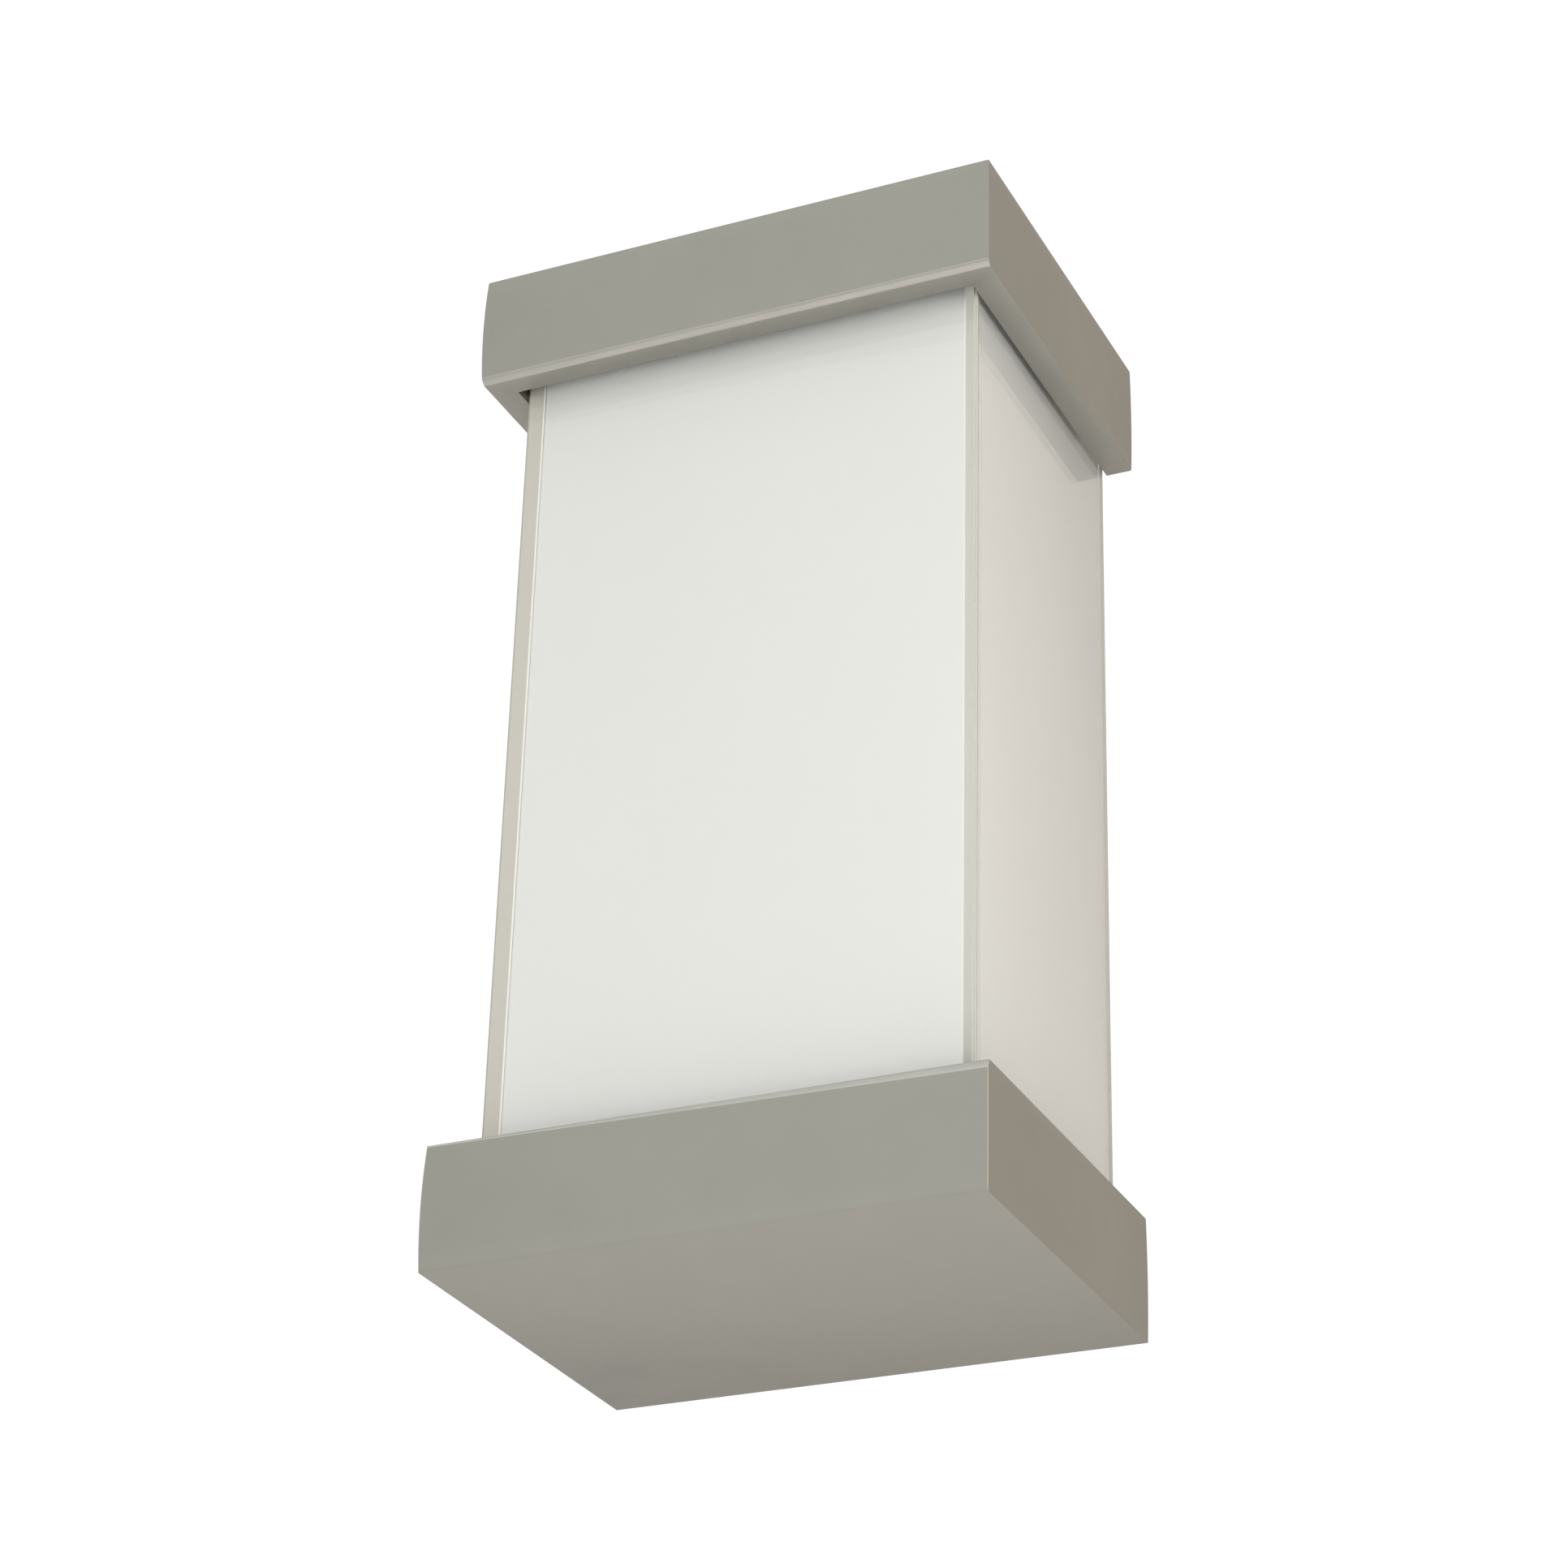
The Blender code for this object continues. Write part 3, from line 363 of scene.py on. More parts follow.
def galvanised():
    """Zinc-coated sheet: flat-sided crystals a few millimetres across."""
    t = Tree("galvanised_steel")
    texture = t.node("ShaderNodeTexVoronoi")
    texture.inputs["Scale"].default_value = 1 / 0.006
    t.link(t.place, texture.inputs["Vector"])
    split = t.node("ShaderNodeSeparateColor")
    t.link(texture.outputs["Color"], split.inputs[0])
    tone = t.blend(split.outputs[0], (0.46, 0.47, 0.48), (0.62, 0.63, 0.64))
    t.set(Base_Color=tone, Metallic=0.9, Roughness=t.ramp(split.outputs[1], 0.30, 0.48, 0.0, 1.0))
    t.set(Normal=t.bump(t.noise(0.0008, 3.0), 0.00002, 0.4))
    return t.material


PLAIN = {  # colour, metallic, roughness, and where they differ: grain, depth, variation
    "white_paint": ((0.78, 0.78, 0.75), 0.0, 0.42, 0.0007, 0.00004, 0.03),
    "zinc_steel": ((0.58, 0.58, 0.56), 0.95, 0.30),
    "rivet_aluminium": ((0.68, 0.68, 0.69), 0.95, 0.36),
    "nickel_plate": ((0.64, 0.62, 0.57), 1.0, 0.22),
    "brass": ((0.70, 0.53, 0.24), 1.0, 0.30),
    "porcelain": ((0.83, 0.82, 0.77), 0.0, 0.14, 0.004, 0.00004, 0.02),
    "black_rubber": ((0.025, 0.025, 0.025), 0.0, 0.75, 0.0004, 0.00004, 0.2),
    "grey_foam": ((0.11, 0.11, 0.115), 0.0, 0.90, 0.0009, 0.0003, 0.15),
    "bulb_glass": ((0.86, 0.86, 0.83), 0.0, 0.22, 0.003, 0.00002, 0.01),
    "black_glass": ((0.02, 0.02, 0.022), 0.0, 0.12, 0.003, 0.00002, 0.1),
    "black_lead": ((0.020, 0.020, 0.022), 0.0, 0.42, 0.0006, 0.00003, 0.15),
    "white_lead": ((0.76, 0.76, 0.72), 0.0, 0.42, 0.0006, 0.00003, 0.03),
    "green_lead": ((0.03, 0.22, 0.06), 0.0, 0.42, 0.0006, 0.00003, 0.1),
    "green_screw": ((0.05, 0.28, 0.10), 0.6, 0.32),
    "connector_plastic": ((0.62, 0.14, 0.03), 0.0, 0.36, 0.0008, 0.00003, 0.05),
}


def make_materials():
    return {
        "satin_nickel": satin_nickel(),
        # lighter copies of the nickel: painted highlights on the base's and the cap's mouth edges
        "base_highlight_nickel": highlight_nickel("base_highlight_nickel", (0.505, 0.495, 0.455)),
        "polished_nickel": highlight_nickel("polished_nickel", (0.575, 0.56, 0.52)),
        "clear_glass": clear_glass(),
        "ground_edge": ground_edge("ground_edge", (0.465, 0.458, 0.418)),
        # a lighter copy of the ground edge for the right corner: painted light
        "ground_edge_painted_light": ground_edge("ground_edge_painted_light", (0.80, 0.78, 0.72)),
        "opal_glass": opal_glass(),
        "galvanised_steel": galvanised(),
        **{name: plain(name, *values) for name, values in PLAIN.items()},
    }


# ---- mesh helpers
BEVEL_ANGLE = math.radians(35)  # edges sharper than this are eased
FACING = {
    "Z": Matrix.Identity(4),
    "-Z": Matrix.Rotation(math.pi, 4, "X"),
    "Y": Matrix.Rotation(-math.pi / 2, 4, "X"),
    "-Y": Matrix.Rotation(math.pi / 2, 4, "X"),
    "X": Matrix(((0, 0, 1, 0), (1, 0, 0, 0), (0, 1, 0, 0), (0, 0, 0, 1))),
}


def link(name, mesh, material, smooth=30):
    item = bpy.data.objects.new(name, mesh)
    bpy.context.scene.collection.objects.link(item)
    mesh.materials.clear()
    mesh.materials.append(material)
    for face in mesh.polygons:
        face.use_smooth = True
    mesh.set_sharp_from_angle(angle=math.radians(smooth))
    return item


def baked(item):
    """The object's mesh with its modifiers applied, and the object removed."""
    shown = item.evaluated_get(bpy.context.evaluated_depsgraph_get())
    mesh = bpy.data.meshes.new_from_object(shown)
    mesh.transform(item.matrix_world)
    bpy.data.objects.remove(item)
    return mesh


def scratch(mesh):
    item = bpy.data.objects.new("scratch", mesh)
    bpy.context.scene.collection.objects.link(item)
    return item


def block_mesh(low, high):
    bm = bmesh.new()
    bmesh.ops.create_cube(bm, size=1.0)
    size = Vector(high) - Vector(low)
    bmesh.ops.scale(bm, vec=size, verts=bm.verts)
    bmesh.ops.translate(bm, vec=(Vector(high) + Vector(low)) / 2, verts=bm.verts)
    mesh = bpy.data.meshes.new("block")
    bm.to_mesh(mesh)
    bm.free()
    return mesh


def prism_mesh(outline, low, high):
    """An outline in X and Y, anticlockwise, between two levels."""
    bm = bmesh.new()
    face = bm.faces.new([bm.verts.new((x, y, low)) for x, y in outline])
    lifted = bmesh.ops.extrude_face_region(bm, geom=[face])
    up = [v for v in lifted["geom"] if isinstance(v, bmesh.types.BMVert)]
    bmesh.ops.translate(bm, vec=(0, 0, high - low), verts=up)
    bmesh.ops.recalc_face_normals(bm, faces=bm.faces)
    mesh = bpy.data.meshes.new("prism")
    bm.to_mesh(mesh)
    bm.free()
    return mesh


def modified(mesh, *steps):
    """A mesh after modifiers, each given as its kind and its settings."""
    item = scratch(mesh)
    for index, (kind, settings) in enumerate(steps):
        modifier = item.modifiers.new(f"step_{index}", kind)
        for key, value in settings.items():
            setattr(modifier, key, value)
    return baked(item)


def bevelled(mesh, width, segments=2):
    return modified(mesh, ("BEVEL", {
        "width": width, "segments": segments, "limit_method": "ANGLE", "angle_limit": BEVEL_ANGLE,
    }))


def combined(mesh, operation, *others):
    """The mesh cut by, joined with or limited to each other mesh."""
    for other in others:
        item = scratch(other)
        mesh = modified(mesh, ("BOOLEAN", {"operation": operation, "object": item}))
        bpy.data.objects.remove(item)
    return mesh


def cut_by(mesh, *tools):
    return combined(mesh, "DIFFERENCE", *tools)


def joined(mesh, *others):
    return combined(mesh, "UNION", *others)


def set_at(mesh, centre, facing="Z"):
    """The mesh with its +Z turned along facing, moved to the centre."""
    mesh.transform(Matrix.Translation(centre) @ FACING[facing])
    return mesh


def turned_mesh(profile, steps=64, closed=False, relief=None, relieved=()):
    """A turned solid from (radius, height) rows, which run down the outside.

    Rows whose numbers are in relieved lose relief(angle, height) from their radius.
    """
    bm = bmesh.new()
    rows = []
    for index, (radius, height) in enumerate(profile):
        row = []
        for step in range(steps if radius > 0 else 1):
            angle = 2 * math.pi * step / steps
            reach = radius - relief(angle, height) if index in relieved else radius
            row.append(bm.verts.new((reach * math.cos(angle), reach * math.sin(angle), height)))
        rows.append(row)
    for upper, lower in zip(rows, rows[1:] + rows[:1] if closed else rows[1:]):
        for step in range(steps if len(upper) + len(lower) > 2 else 0):
            after = (step + 1) % steps
            corners = [upper[step % len(upper)], lower[step % len(lower)], lower[after % len(lower)],
                       upper[after % len(upper)]]
            bm.faces.new(dict.fromkeys(corners))
    bmesh.ops.recalc_face_normals(bm, faces=bm.faces)
    mesh = bpy.data.meshes.new("turned")
    bm.to_mesh(mesh)
    bm.free()
    return mesh


def rod_mesh(place, radius, length, facing="Z"):
    """A plain rod for cutting, with its middle at a place."""
    half = length / 2
    profile = [(0, half), (radius, half), (radius, -half), (0, -half)]
    return set_at(turned_mesh(profile, 48), place, facing)


def arc(centre, radius, start, end, steps=8):
    """Points along an arc, in degrees."""
    angles = [math.radians(start + (end - start) * step / steps) for step in range(steps + 1)]
    return [(centre[0] + radius * math.cos(a), centre[1] + radius * math.sin(a)) for a in angles]


def angles(step, first, after):
    """Multiples of a step in degrees, in radians."""
    return [math.radians(step * index) for index in range(first, after)]


def rounded_outline(low, high, radius):
    """A rectangle with round corners, anticlockwise."""
    (x0, y0), (x1, y1) = low, high
    return (
        arc((x1 - radius, y0 + radius), radius, -90, 0)
        + arc((x1 - radius, y1 - radius), radius, 0, 90)
        + arc((x0 + radius, y1 - radius), radius, 90, 180)
        + arc((x0 + radius, y0 + radius), radius, 180, 270)
    )


def middle(node):
    low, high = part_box(node)
    return (low + high) / 2


def stand_for(node, mesh, smooth=30):
    """Show the mesh in a CAD node's place, on the same body and in the same material."""
    item = link(f"{node}_looks", mesh, MATERIALS[SLOT_OF[node]], smooth)
    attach(item, BODY_OF[node])
    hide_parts(node)
    return item


# ---- cap and base
SHELL_WALL = 0.0025
SHELL_RIM = 0.0083
SHELL_BULGE = 0.0005
RIGHT_BULGE = 0.5  # the right face is flatter: its share of the crown
CROWN_ROWS = 12
MOUTH_CHAMFER = 0.0015  # flat on the mouth's front edge
EDGE_ROUND = 0.00045
CROWN_ANGLE = math.radians(14)
HIGHLIGHT_BAND_LOW, HIGHLIGHT_BAND_HIGH = 0.0004, 0.0024  # the flat band on the base's front edge, at its left and right end; it carries the painted highlight
HIGHLIGHT_BAND_BACK = 0.0009  # how far the mouth's front edge leans back
BOSS_RADIUS, BOSS_BORE, BOSS_DEEP = 0.0045, 0.0022, 0.014  # screw bosses inside the base
THUMB_HOLE = 0.0026
PIECE_GAP = 0.0003
OVERCUT = 0.01  # of a cutting block, past the shell


def crowned_block(low, high, mouth_up):
    """The outer form: swollen faces, eased edges, and a flat band along the mouth's front edge."""
    bm = bmesh.new()
    bmesh.ops.create_cube(bm, size=1.0)
    upright = [e for e in bm.edges if abs(e.verts[0].co.z - e.verts[1].co.z) > 0.5]
    bmesh.ops.subdivide_edges(bm, edges=upright, cuts=CROWN_ROWS - 1, use_grid_fill=True)
    size = Vector(high) - Vector(low)
    size.x -= 2 * SHELL_BULGE
    size.y -= SHELL_BULGE
    bmesh.ops.scale(bm, vec=size, verts=bm.verts)
    half_x, half_y, half_z = size / 2
    step = size.z / CROWN_ROWS
    for vert in bm.verts:
        rise = vert.co.z
        if mouth_up and vert.co.y < 0 and abs(rise - (half_z - step)) < 1e-6:
            share = (vert.co.x + half_x) / size.x
            vert.co.z = half_z - HIGHLIGHT_BAND_LOW - (HIGHLIGHT_BAND_HIGH - HIGHLIGHT_BAND_LOW) * share
        swell = SHELL_BULGE * (1 - (vert.co.z / half_z) ** 2)
        vert.co.x += swell * RIGHT_BULGE if vert.co.x > 0 else -swell
        if vert.co.y < 0:
            vert.co.y -= swell
            if mouth_up and abs(rise - half_z) < 1e-6:
                share = (vert.co.x + half_x) / size.x
                vert.co.y += HIGHLIGHT_BAND_BACK * (0.2 + 0.8 * share)
    bmesh.ops.translate(bm, vec=(0, -half_y, (low[2] + high[2]) / 2), verts=bm.verts)
    weight = bm.edges.layers.float.new("bevel_weight_edge")
    for edge in bm.edges:
        a, b = (vert.co for vert in edge.verts)
        at_mouth = abs(a.z - low[2]) < 1e-6 and abs(b.z - low[2]) < 1e-6
        edge[weight] = 1.0 if not mouth_up and at_mouth and max(a.y, b.y) < -half_y else 0.0
    mesh = bpy.data.meshes.new("crowned_block")
    bm.to_mesh(mesh)
    bm.free()
    return modified(
        mesh,
        ("BEVEL", {"width": MOUTH_CHAMFER, "segments": 1, "limit_method": "WEIGHT"}),
        ("BEVEL", {
            "width": EDGE_ROUND, "segments": 2, "limit_method": "ANGLE", "angle_limit": CROWN_ANGLE,
        }),
    )


def hollow_shell(node, mouth_up):
    """The crowned block, hollowed and open at the wall, with a flanged mouth."""
    low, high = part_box(node)
    mouth, closed = (high.z, low.z) if mouth_up else (low.z, high.z)
    inward = -1 if mouth_up else 1
    hollow_z = sorted((mouth + inward * SHELL_WALL, closed - inward * SHELL_WALL))
    mouth_z = sorted((mouth - inward * OVERCUT, mouth + inward * 2 * SHELL_WALL))
    wall, rim = SHELL_WALL, SHELL_RIM
    return cut_by(
        crowned_block(low, high, mouth_up),
        block_mesh((low.x + wall, low.y + wall, hollow_z[0]), (high.x - wall, OVERCUT, hollow_z[1])),
        block_mesh((low.x + rim, low.y + rim, mouth_z[0]), (high.x - rim, OVERCUT, mouth_z[1])),
    )


def paint_highlight(shell, mouth_z):
    """Paint a highlight on the flat at the mouth's front edge, and on the base's front corners: a
    lighter copy of the metal.
    """
    # the lighter metal here is a painted highlight
    shell.data.materials.append(MATERIALS["polished_nickel" if mouth_z < 0 else "base_highlight_nickel"])
    for face in shell.data.polygons:
        tilt = abs(face.normal.z)
        near_mouth = abs(face.center.z - mouth_z) < 1.3 * HIGHLIGHT_BAND_HIGH
        on_flat = near_mouth and face.normal.y < -0.3 and 0.15 < tilt < 0.95
        on_corner = mouth_z < 0 and face.normal.y < -0.3 and abs(face.normal.x) > 0.3 and tilt < 0.3
        if on_flat or on_corner:
            face.material_index = 1


def make_shells():
    cap = hollow_shell("top_cap", False)
    for side in SIDES:
        at = middle(f"thumb_screw_{side}")
        cap = cut_by(cap, rod_mesh((at.x, at.y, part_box("top_cap")[1].z), THUMB_HOLE, 0.02))
    paint_highlight(stand_for("top_cap", cap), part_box("top_cap")[0].z)

    base = hollow_shell("base_shell", True)
    floor_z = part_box("base_shell")[0].z + SHELL_WALL / 2
    top_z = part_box("base_frame")[0].z - PIECE_GAP
    for node in NODES:
        if node.startswith("base_screw"):
            at = middle(node)
            boss = rod_mesh((at.x, at.y, (floor_z + top_z) / 2), BOSS_RADIUS, top_z - floor_z)
            base = joined(base, cut_by(boss, rod_mesh((at.x, at.y, top_z), BOSS_BORE, 2 * BOSS_DEEP)))
    paint_highlight(stand_for("base_shell", base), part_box("base_shell")[1].z)


# ---- clear glass
GLASS_ARRIS = 0.0009
MITRE_GAP = 0.0003
INNER_ARRIS = 0.0004  # the light line that a mitre's inner edge makes


def make_clear_panes():
    """The three mitred clear panes. Their cut edges, mitres and corner arrises are ground matte; the
    right corner's mitres are painted lighter, as painted light.
    """
    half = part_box("clear_glass_right")[1].x
    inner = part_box("clear_glass_right")[0].x
    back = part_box("clear_glass_right")[1].y
    front, front_inner = (corner.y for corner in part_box("clear_glass_front"))
    shift = MITRE_GAP / math.sqrt(2)
    near, far = (GLASS_ARRIS - shift) / 2, (GLASS_ARRIS + shift) / 2

    def across(side, points):
        return [(side * x, y) for x, y in points]

    corner = [
        (half - GLASS_ARRIS, front),
        (half - far, front + near),
        (inner - shift + INNER_ARRIS / 4, front_inner - INNER_ARRIS / 4),
        (inner - shift - INNER_ARRIS, front_inner),
    ]
    outlines = {"front": across(1, corner) + across(-1, corner[::-1])}
    for name, side in (("left", -1), ("right", 1)):
        outlines[name] = across(side, [
            (half - near, front + far), (half, front + GLASS_ARRIS), (half, back), (inner, back),
            (inner, front_inner + shift),
        ])
    for name, outline in outlines.items():
        low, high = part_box(f"clear_glass_{name}")
        pane = stand_for(f"clear_glass_{name}", prism_mesh(outline, low.z, high.z), 20)
        pane.data.materials.append(MATERIALS["ground_edge"])
        pane.data.materials.append(MATERIALS["ground_edge_painted_light"])
        for face in pane.data.polygons:
            x, y, z = (abs(value) for value in face.normal)
            # the right corner's mitres take the lighter copy, index 2: painted light
            on_mitre = face.normal.x * face.normal.y * (1 if face.center.x > 0 else -1) > 0.1
            if on_mitre and (y > 0.8 or face.center.x > 0):
                face.material_index = 2
            elif (x > 0.3 and y > 0.3) or z > 0.9 or (name != "front" and y > 0.9):
                face.material_index = 1


# ---- opal glass
OPAL_ARRIS = 0.0004
OPAL_GAP = 0.0001


def make_opal_panes():
    """The three opal panes inside the clear ones: the front one covers the side ones' front edges."""
    low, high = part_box("opal_liner_front")
    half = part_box("opal_liner_right")[1].x - OPAL_GAP
    front = low.y
    face = half - OPAL_ARRIS
    outline = [
        (-face, front), (face, front), (half, front + OPAL_ARRIS),
        (half, high.y), (-half, high.y), (-half, front + OPAL_ARRIS),
    ]
    stand_for("opal_liner_front", prism_mesh(outline, low.z, high.z))
    for name, side in SIDES.items():
        low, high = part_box(f"opal_liner_{name}")
        inner, outer = sorted((abs(low.x), abs(high.x)))
        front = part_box("opal_liner_front")[1].y + OPAL_GAP
        corners = ((inner, front), (outer, front), (outer, high.y), (inner, high.y))
        outline = [(side * x, y) for x, y in corners]
        stand_for(f"opal_liner_{name}", bevelled(prism_mesh(outline, low.z, high.z), 0.0003, 2))


# ---- screws and other turned hardware
THREAD_PITCH = 0.0007
THREAD_DEPTH = 0.00028
HEAD_HIGH = {"socket_screw": 0.0018}  # the others' heads are 2.4 mm high
SHANK_RADIUS = {"clip_screw": 0.0015, "socket_screw": 0.0015}  # the others' shanks are 1.9 mm in radius
KNURL_TEETH = 60
KNURL_DEPTH = 0.0004


def thread(radius, high, low):
    """Rows of a cut thread's roots and crests from one height down to another."""
    count = max(1, round((high - low) / THREAD_PITCH))
    pitch = (high - low) / count
    rows = []
    for turn in range(count):
        top = high - turn * pitch
        rows += [
            (radius - THREAD_DEPTH, top - pitch * 0.1),
            (radius, top - pitch * 0.45),
            (radius, top - pitch * 0.6),
        ]
    return rows + [(radius - THREAD_DEPTH, low)]


def screw_mesh(head_radius, head_high, shank_radius, shank_long):
    """A cross-recessed pan-head screw, the underside of its head at height 0."""
    edge = 0.00012
    shoulder = 0.45 * head_high
    dome = [
        (head_radius * math.sin(a), shoulder + (head_high - shoulder) * math.cos(a))
        for a in angles(15, 1, 7)
    ]
    profile = [(0, head_high), *dome, (head_radius, edge), (head_radius - edge, 0)]
    if shank_long > shank_radius:
        tip = -shank_long + 0.6 * shank_radius
        profile += [*thread(shank_radius, 0, tip), (0.55 * shank_radius, -shank_long), (0, -shank_long)]
    else:
        profile.append((0, 0))
    reach, blade, floor = 0.52 * head_radius, 0.13 * head_radius, 0.45 * head_high
    return cut_by(
        turned_mesh(profile),
        block_mesh((-reach, -blade, floor), (reach, blade, 2 * head_high)),
        block_mesh((-blade, -reach, floor), (blade, reach, 2 * head_high)),
    )


def make_screws():
    facing_of = {"socket_screw": "-Z", "ground_screw": "-Y", "pan_ground": "Y"}
    for node in NODES:
        kind = "_".join(node.split("_")[:2])
        if "screw" not in node or kind == "thumb_screw":
            continue
        low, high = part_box(node)
        facing = facing_of.get(kind, "Z")
        axis = "XYZ".index(facing[-1])
        head_high = HEAD_HIGH.get(kind, 0.0024)
        across = (high - low)[0] / 2
        long = (high - low)[axis] - head_high
        at = middle(node)
        at[axis] = low[axis] + head_high if facing[0] == "-" else high[axis] - head_high
        mesh = screw_mesh(across, head_high, SHANK_RADIUS.get(kind, 0.0019), long)
        stand_for(node, set_at(mesh, at, facing), 25)


def ring_mesh(radius, bore, thick, edge):
    profile = [
        (radius - edge, thick), (radius, thick - edge), (radius, edge), (radius - edge, 0),
        (bore + edge, 0), (bore, edge), (bore, thick - edge), (bore + edge, thick),
    ]
    return turned_mesh(profile, 96, closed=True)


def make_thumb_screws():
    """Knurled heads with a dished top, on threaded shanks, each on its rubber washer."""
    for side in SIDES:
        node = f"thumb_screw_{side}"
        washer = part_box(f"thumb_washer_{side}")
        low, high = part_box(node)
        at = middle(node)
        seat = washer[1].z + PIECE_GAP
        radius, head = (high.x - low.x) / 2, high.z - seat
        profile = [
            (0, head - 0.0005), (0.52 * radius, head - 0.0005), (0.60 * radius, head - 0.0001),
            (0.66 * radius, head), (0.86 * radius, head), (0.93 * radius, head - 0.0002),
            (radius, head - 0.0009), (radius, 0.0009),
            (0.93 * radius, 0.0001), (0.88 * radius, 0), (0, 0),
        ]
        knurl = turned_mesh(
            profile, 6 * KNURL_TEETH, relieved=(6, 7),
            relief=lambda angle, _: KNURL_DEPTH * (0.5 - 0.5 * math.cos(KNURL_TEETH * angle)),
        )
        end = low.z - seat
        shank = [
            (0, 0.0015), (0.0016, 0.0015), *thread(0.0020, 0, end + 0.0008), (0.0012, end), (0, end),
        ]
        mesh = joined(knurl, turned_mesh(shank, 32))
        stand_for(node, set_at(mesh, (at.x, at.y, seat)), 35)
        thick = washer[1].z - washer[0].z
        ring = ring_mesh((washer[1].x - washer[0].x) / 2, THUMB_HOLE, thick, 0.0002)
        stand_for(f"thumb_washer_{side}", set_at(ring, (at.x, at.y, washer[0].z)))


def hexagon_mesh(radius, high, turn=0.0):
    """Hexagon bar with turned, chamfered ends. turn is the angle of its first corner, in degrees."""
    corners = [math.radians(turn + 60 * step) for step in range(6)]
    bar = prism_mesh([(radius * math.cos(a), radius * math.sin(a)) for a in corners], 0, high)
    face, drop = 0.90 * radius, 0.06 * radius
    wide = radius * 1.02
    turned = [(0, high), (face, high), (wide, high - drop), (wide, drop), (face, 0), (0, 0)]
    return combined(bar, "INTERSECT", turned_mesh(turned, 96))


def make_studs():
    """Two threaded studs in the strap, each with a plain washer and a domed nut inside the lantern."""
    for side in SIDES:
        low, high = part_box(f"mounting_stud_{side}")
        at = middle(f"mounting_stud_{side}")
        radius, half = (high.x - low.x) / 2, (high.y - low.y) / 2
        end = 0.7 * radius
        threaded = thread(radius, half - 0.0004, 0.0004 - half)
        profile = [(0, half), (end, half), *threaded, (end, -half), (0, -half)]
        stand_for(f"mounting_stud_{side}", set_at(turned_mesh(profile, 32), at, "-Y"))

        low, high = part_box(f"stud_washer_{side}")
        ring = ring_mesh((high.x - low.x) / 2, 0.0025, high.y - low.y, 0.00015)
        stand_for(f"stud_washer_{side}", set_at(ring, (at.x, high.y, at.z), "-Y"))

        low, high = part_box(f"stud_nut_{side}")
        hexagon, dome = 0.0050, 0.0044
        nut = hexagon_mesh((high.z - low.z) / 2, hexagon, 90)
        top = high.y - low.y - hexagon
        cup = [(0, hexagon + top)]
        cup += [(dome * math.sin(a), hexagon + top * math.cos(a)) for a in angles(10, 1, 10)]
        cup += [(dome, hexagon - 0.001), (0, hexagon - 0.001)]
        nut = cut_by(joined(nut, turned_mesh(cup)), rod_mesh((0, 0, 0), radius + PIECE_GAP, 0.016))
        stand_for(f"stud_nut_{side}", set_at(nut, (at.x, high.y, at.z), "-Y"))


def make_standoffs():
    """Hexagon posts, riveted into the top frame by a spigot and bored for the thumb screws."""
    frame_low, frame_high = (corner.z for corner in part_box("top_frame"))
    for side in SIDES:
        low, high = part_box(f"cap_standoff_{side}")
        at = middle(f"cap_standoff_{side}")
        seat = frame_high + PIECE_GAP
        post = set_at(hexagon_mesh((high.y - low.y) / 2, high.z - seat, 90), (at.x, at.y, seat))
        neck = rod_mesh((at.x, at.y, (low.z + seat) / 2 + 0.0005), 0.0025, seat - low.z + 0.001)
        post = cut_by(joined(post, neck), rod_mesh(at, 0.00225, 0.1))
        stand_for(f"cap_standoff_{side}", post)


# ---- sheet-metal pieces
SHEET = 0.0015
SCREW_HOLE = 0.0023
NECK_HOLE = 0.0028  # for a standoff's spigot
CLIP_SCREW_HOLE = 0.0018
STUD_HOLE, RIVET_HOLE, GROMMET_HOLE = 0.0026, 0.0017, 0.0053
PLATE_CORNER = 0.0015
LAMP_WINDOW = ((-0.042, -0.0895), (0.042, -0.0265))  # the lamp comes out through it
BOX_SCREW_X = 0.04445  # half of the 3.5 in spacing of a junction box's screws
SLOT_HALF_LONG, SLOT_HALF_WIDE = 0.004, 0.0024
GASKET_WIDE = 0.0075
DRILL_LONG = 0.008  # of a cutting rod through one sheet


def plate_mesh(outline, low, high, holes, edge=0.0002):
    """A flat sheet between two levels. Each hole is an outline, or (x, y, radius)."""
    mesh = prism_mesh(outline, low, high)
    for hole in holes:
        if isinstance(hole[0], tuple):
            tool = prism_mesh(hole, low - SHEET, high + SHEET)
        else:
            tool = rod_mesh((hole[0], hole[1], (low + high) / 2), hole[2], high - low + SHEET)
        mesh = cut_by(mesh, tool)
    return bevelled(mesh, edge)


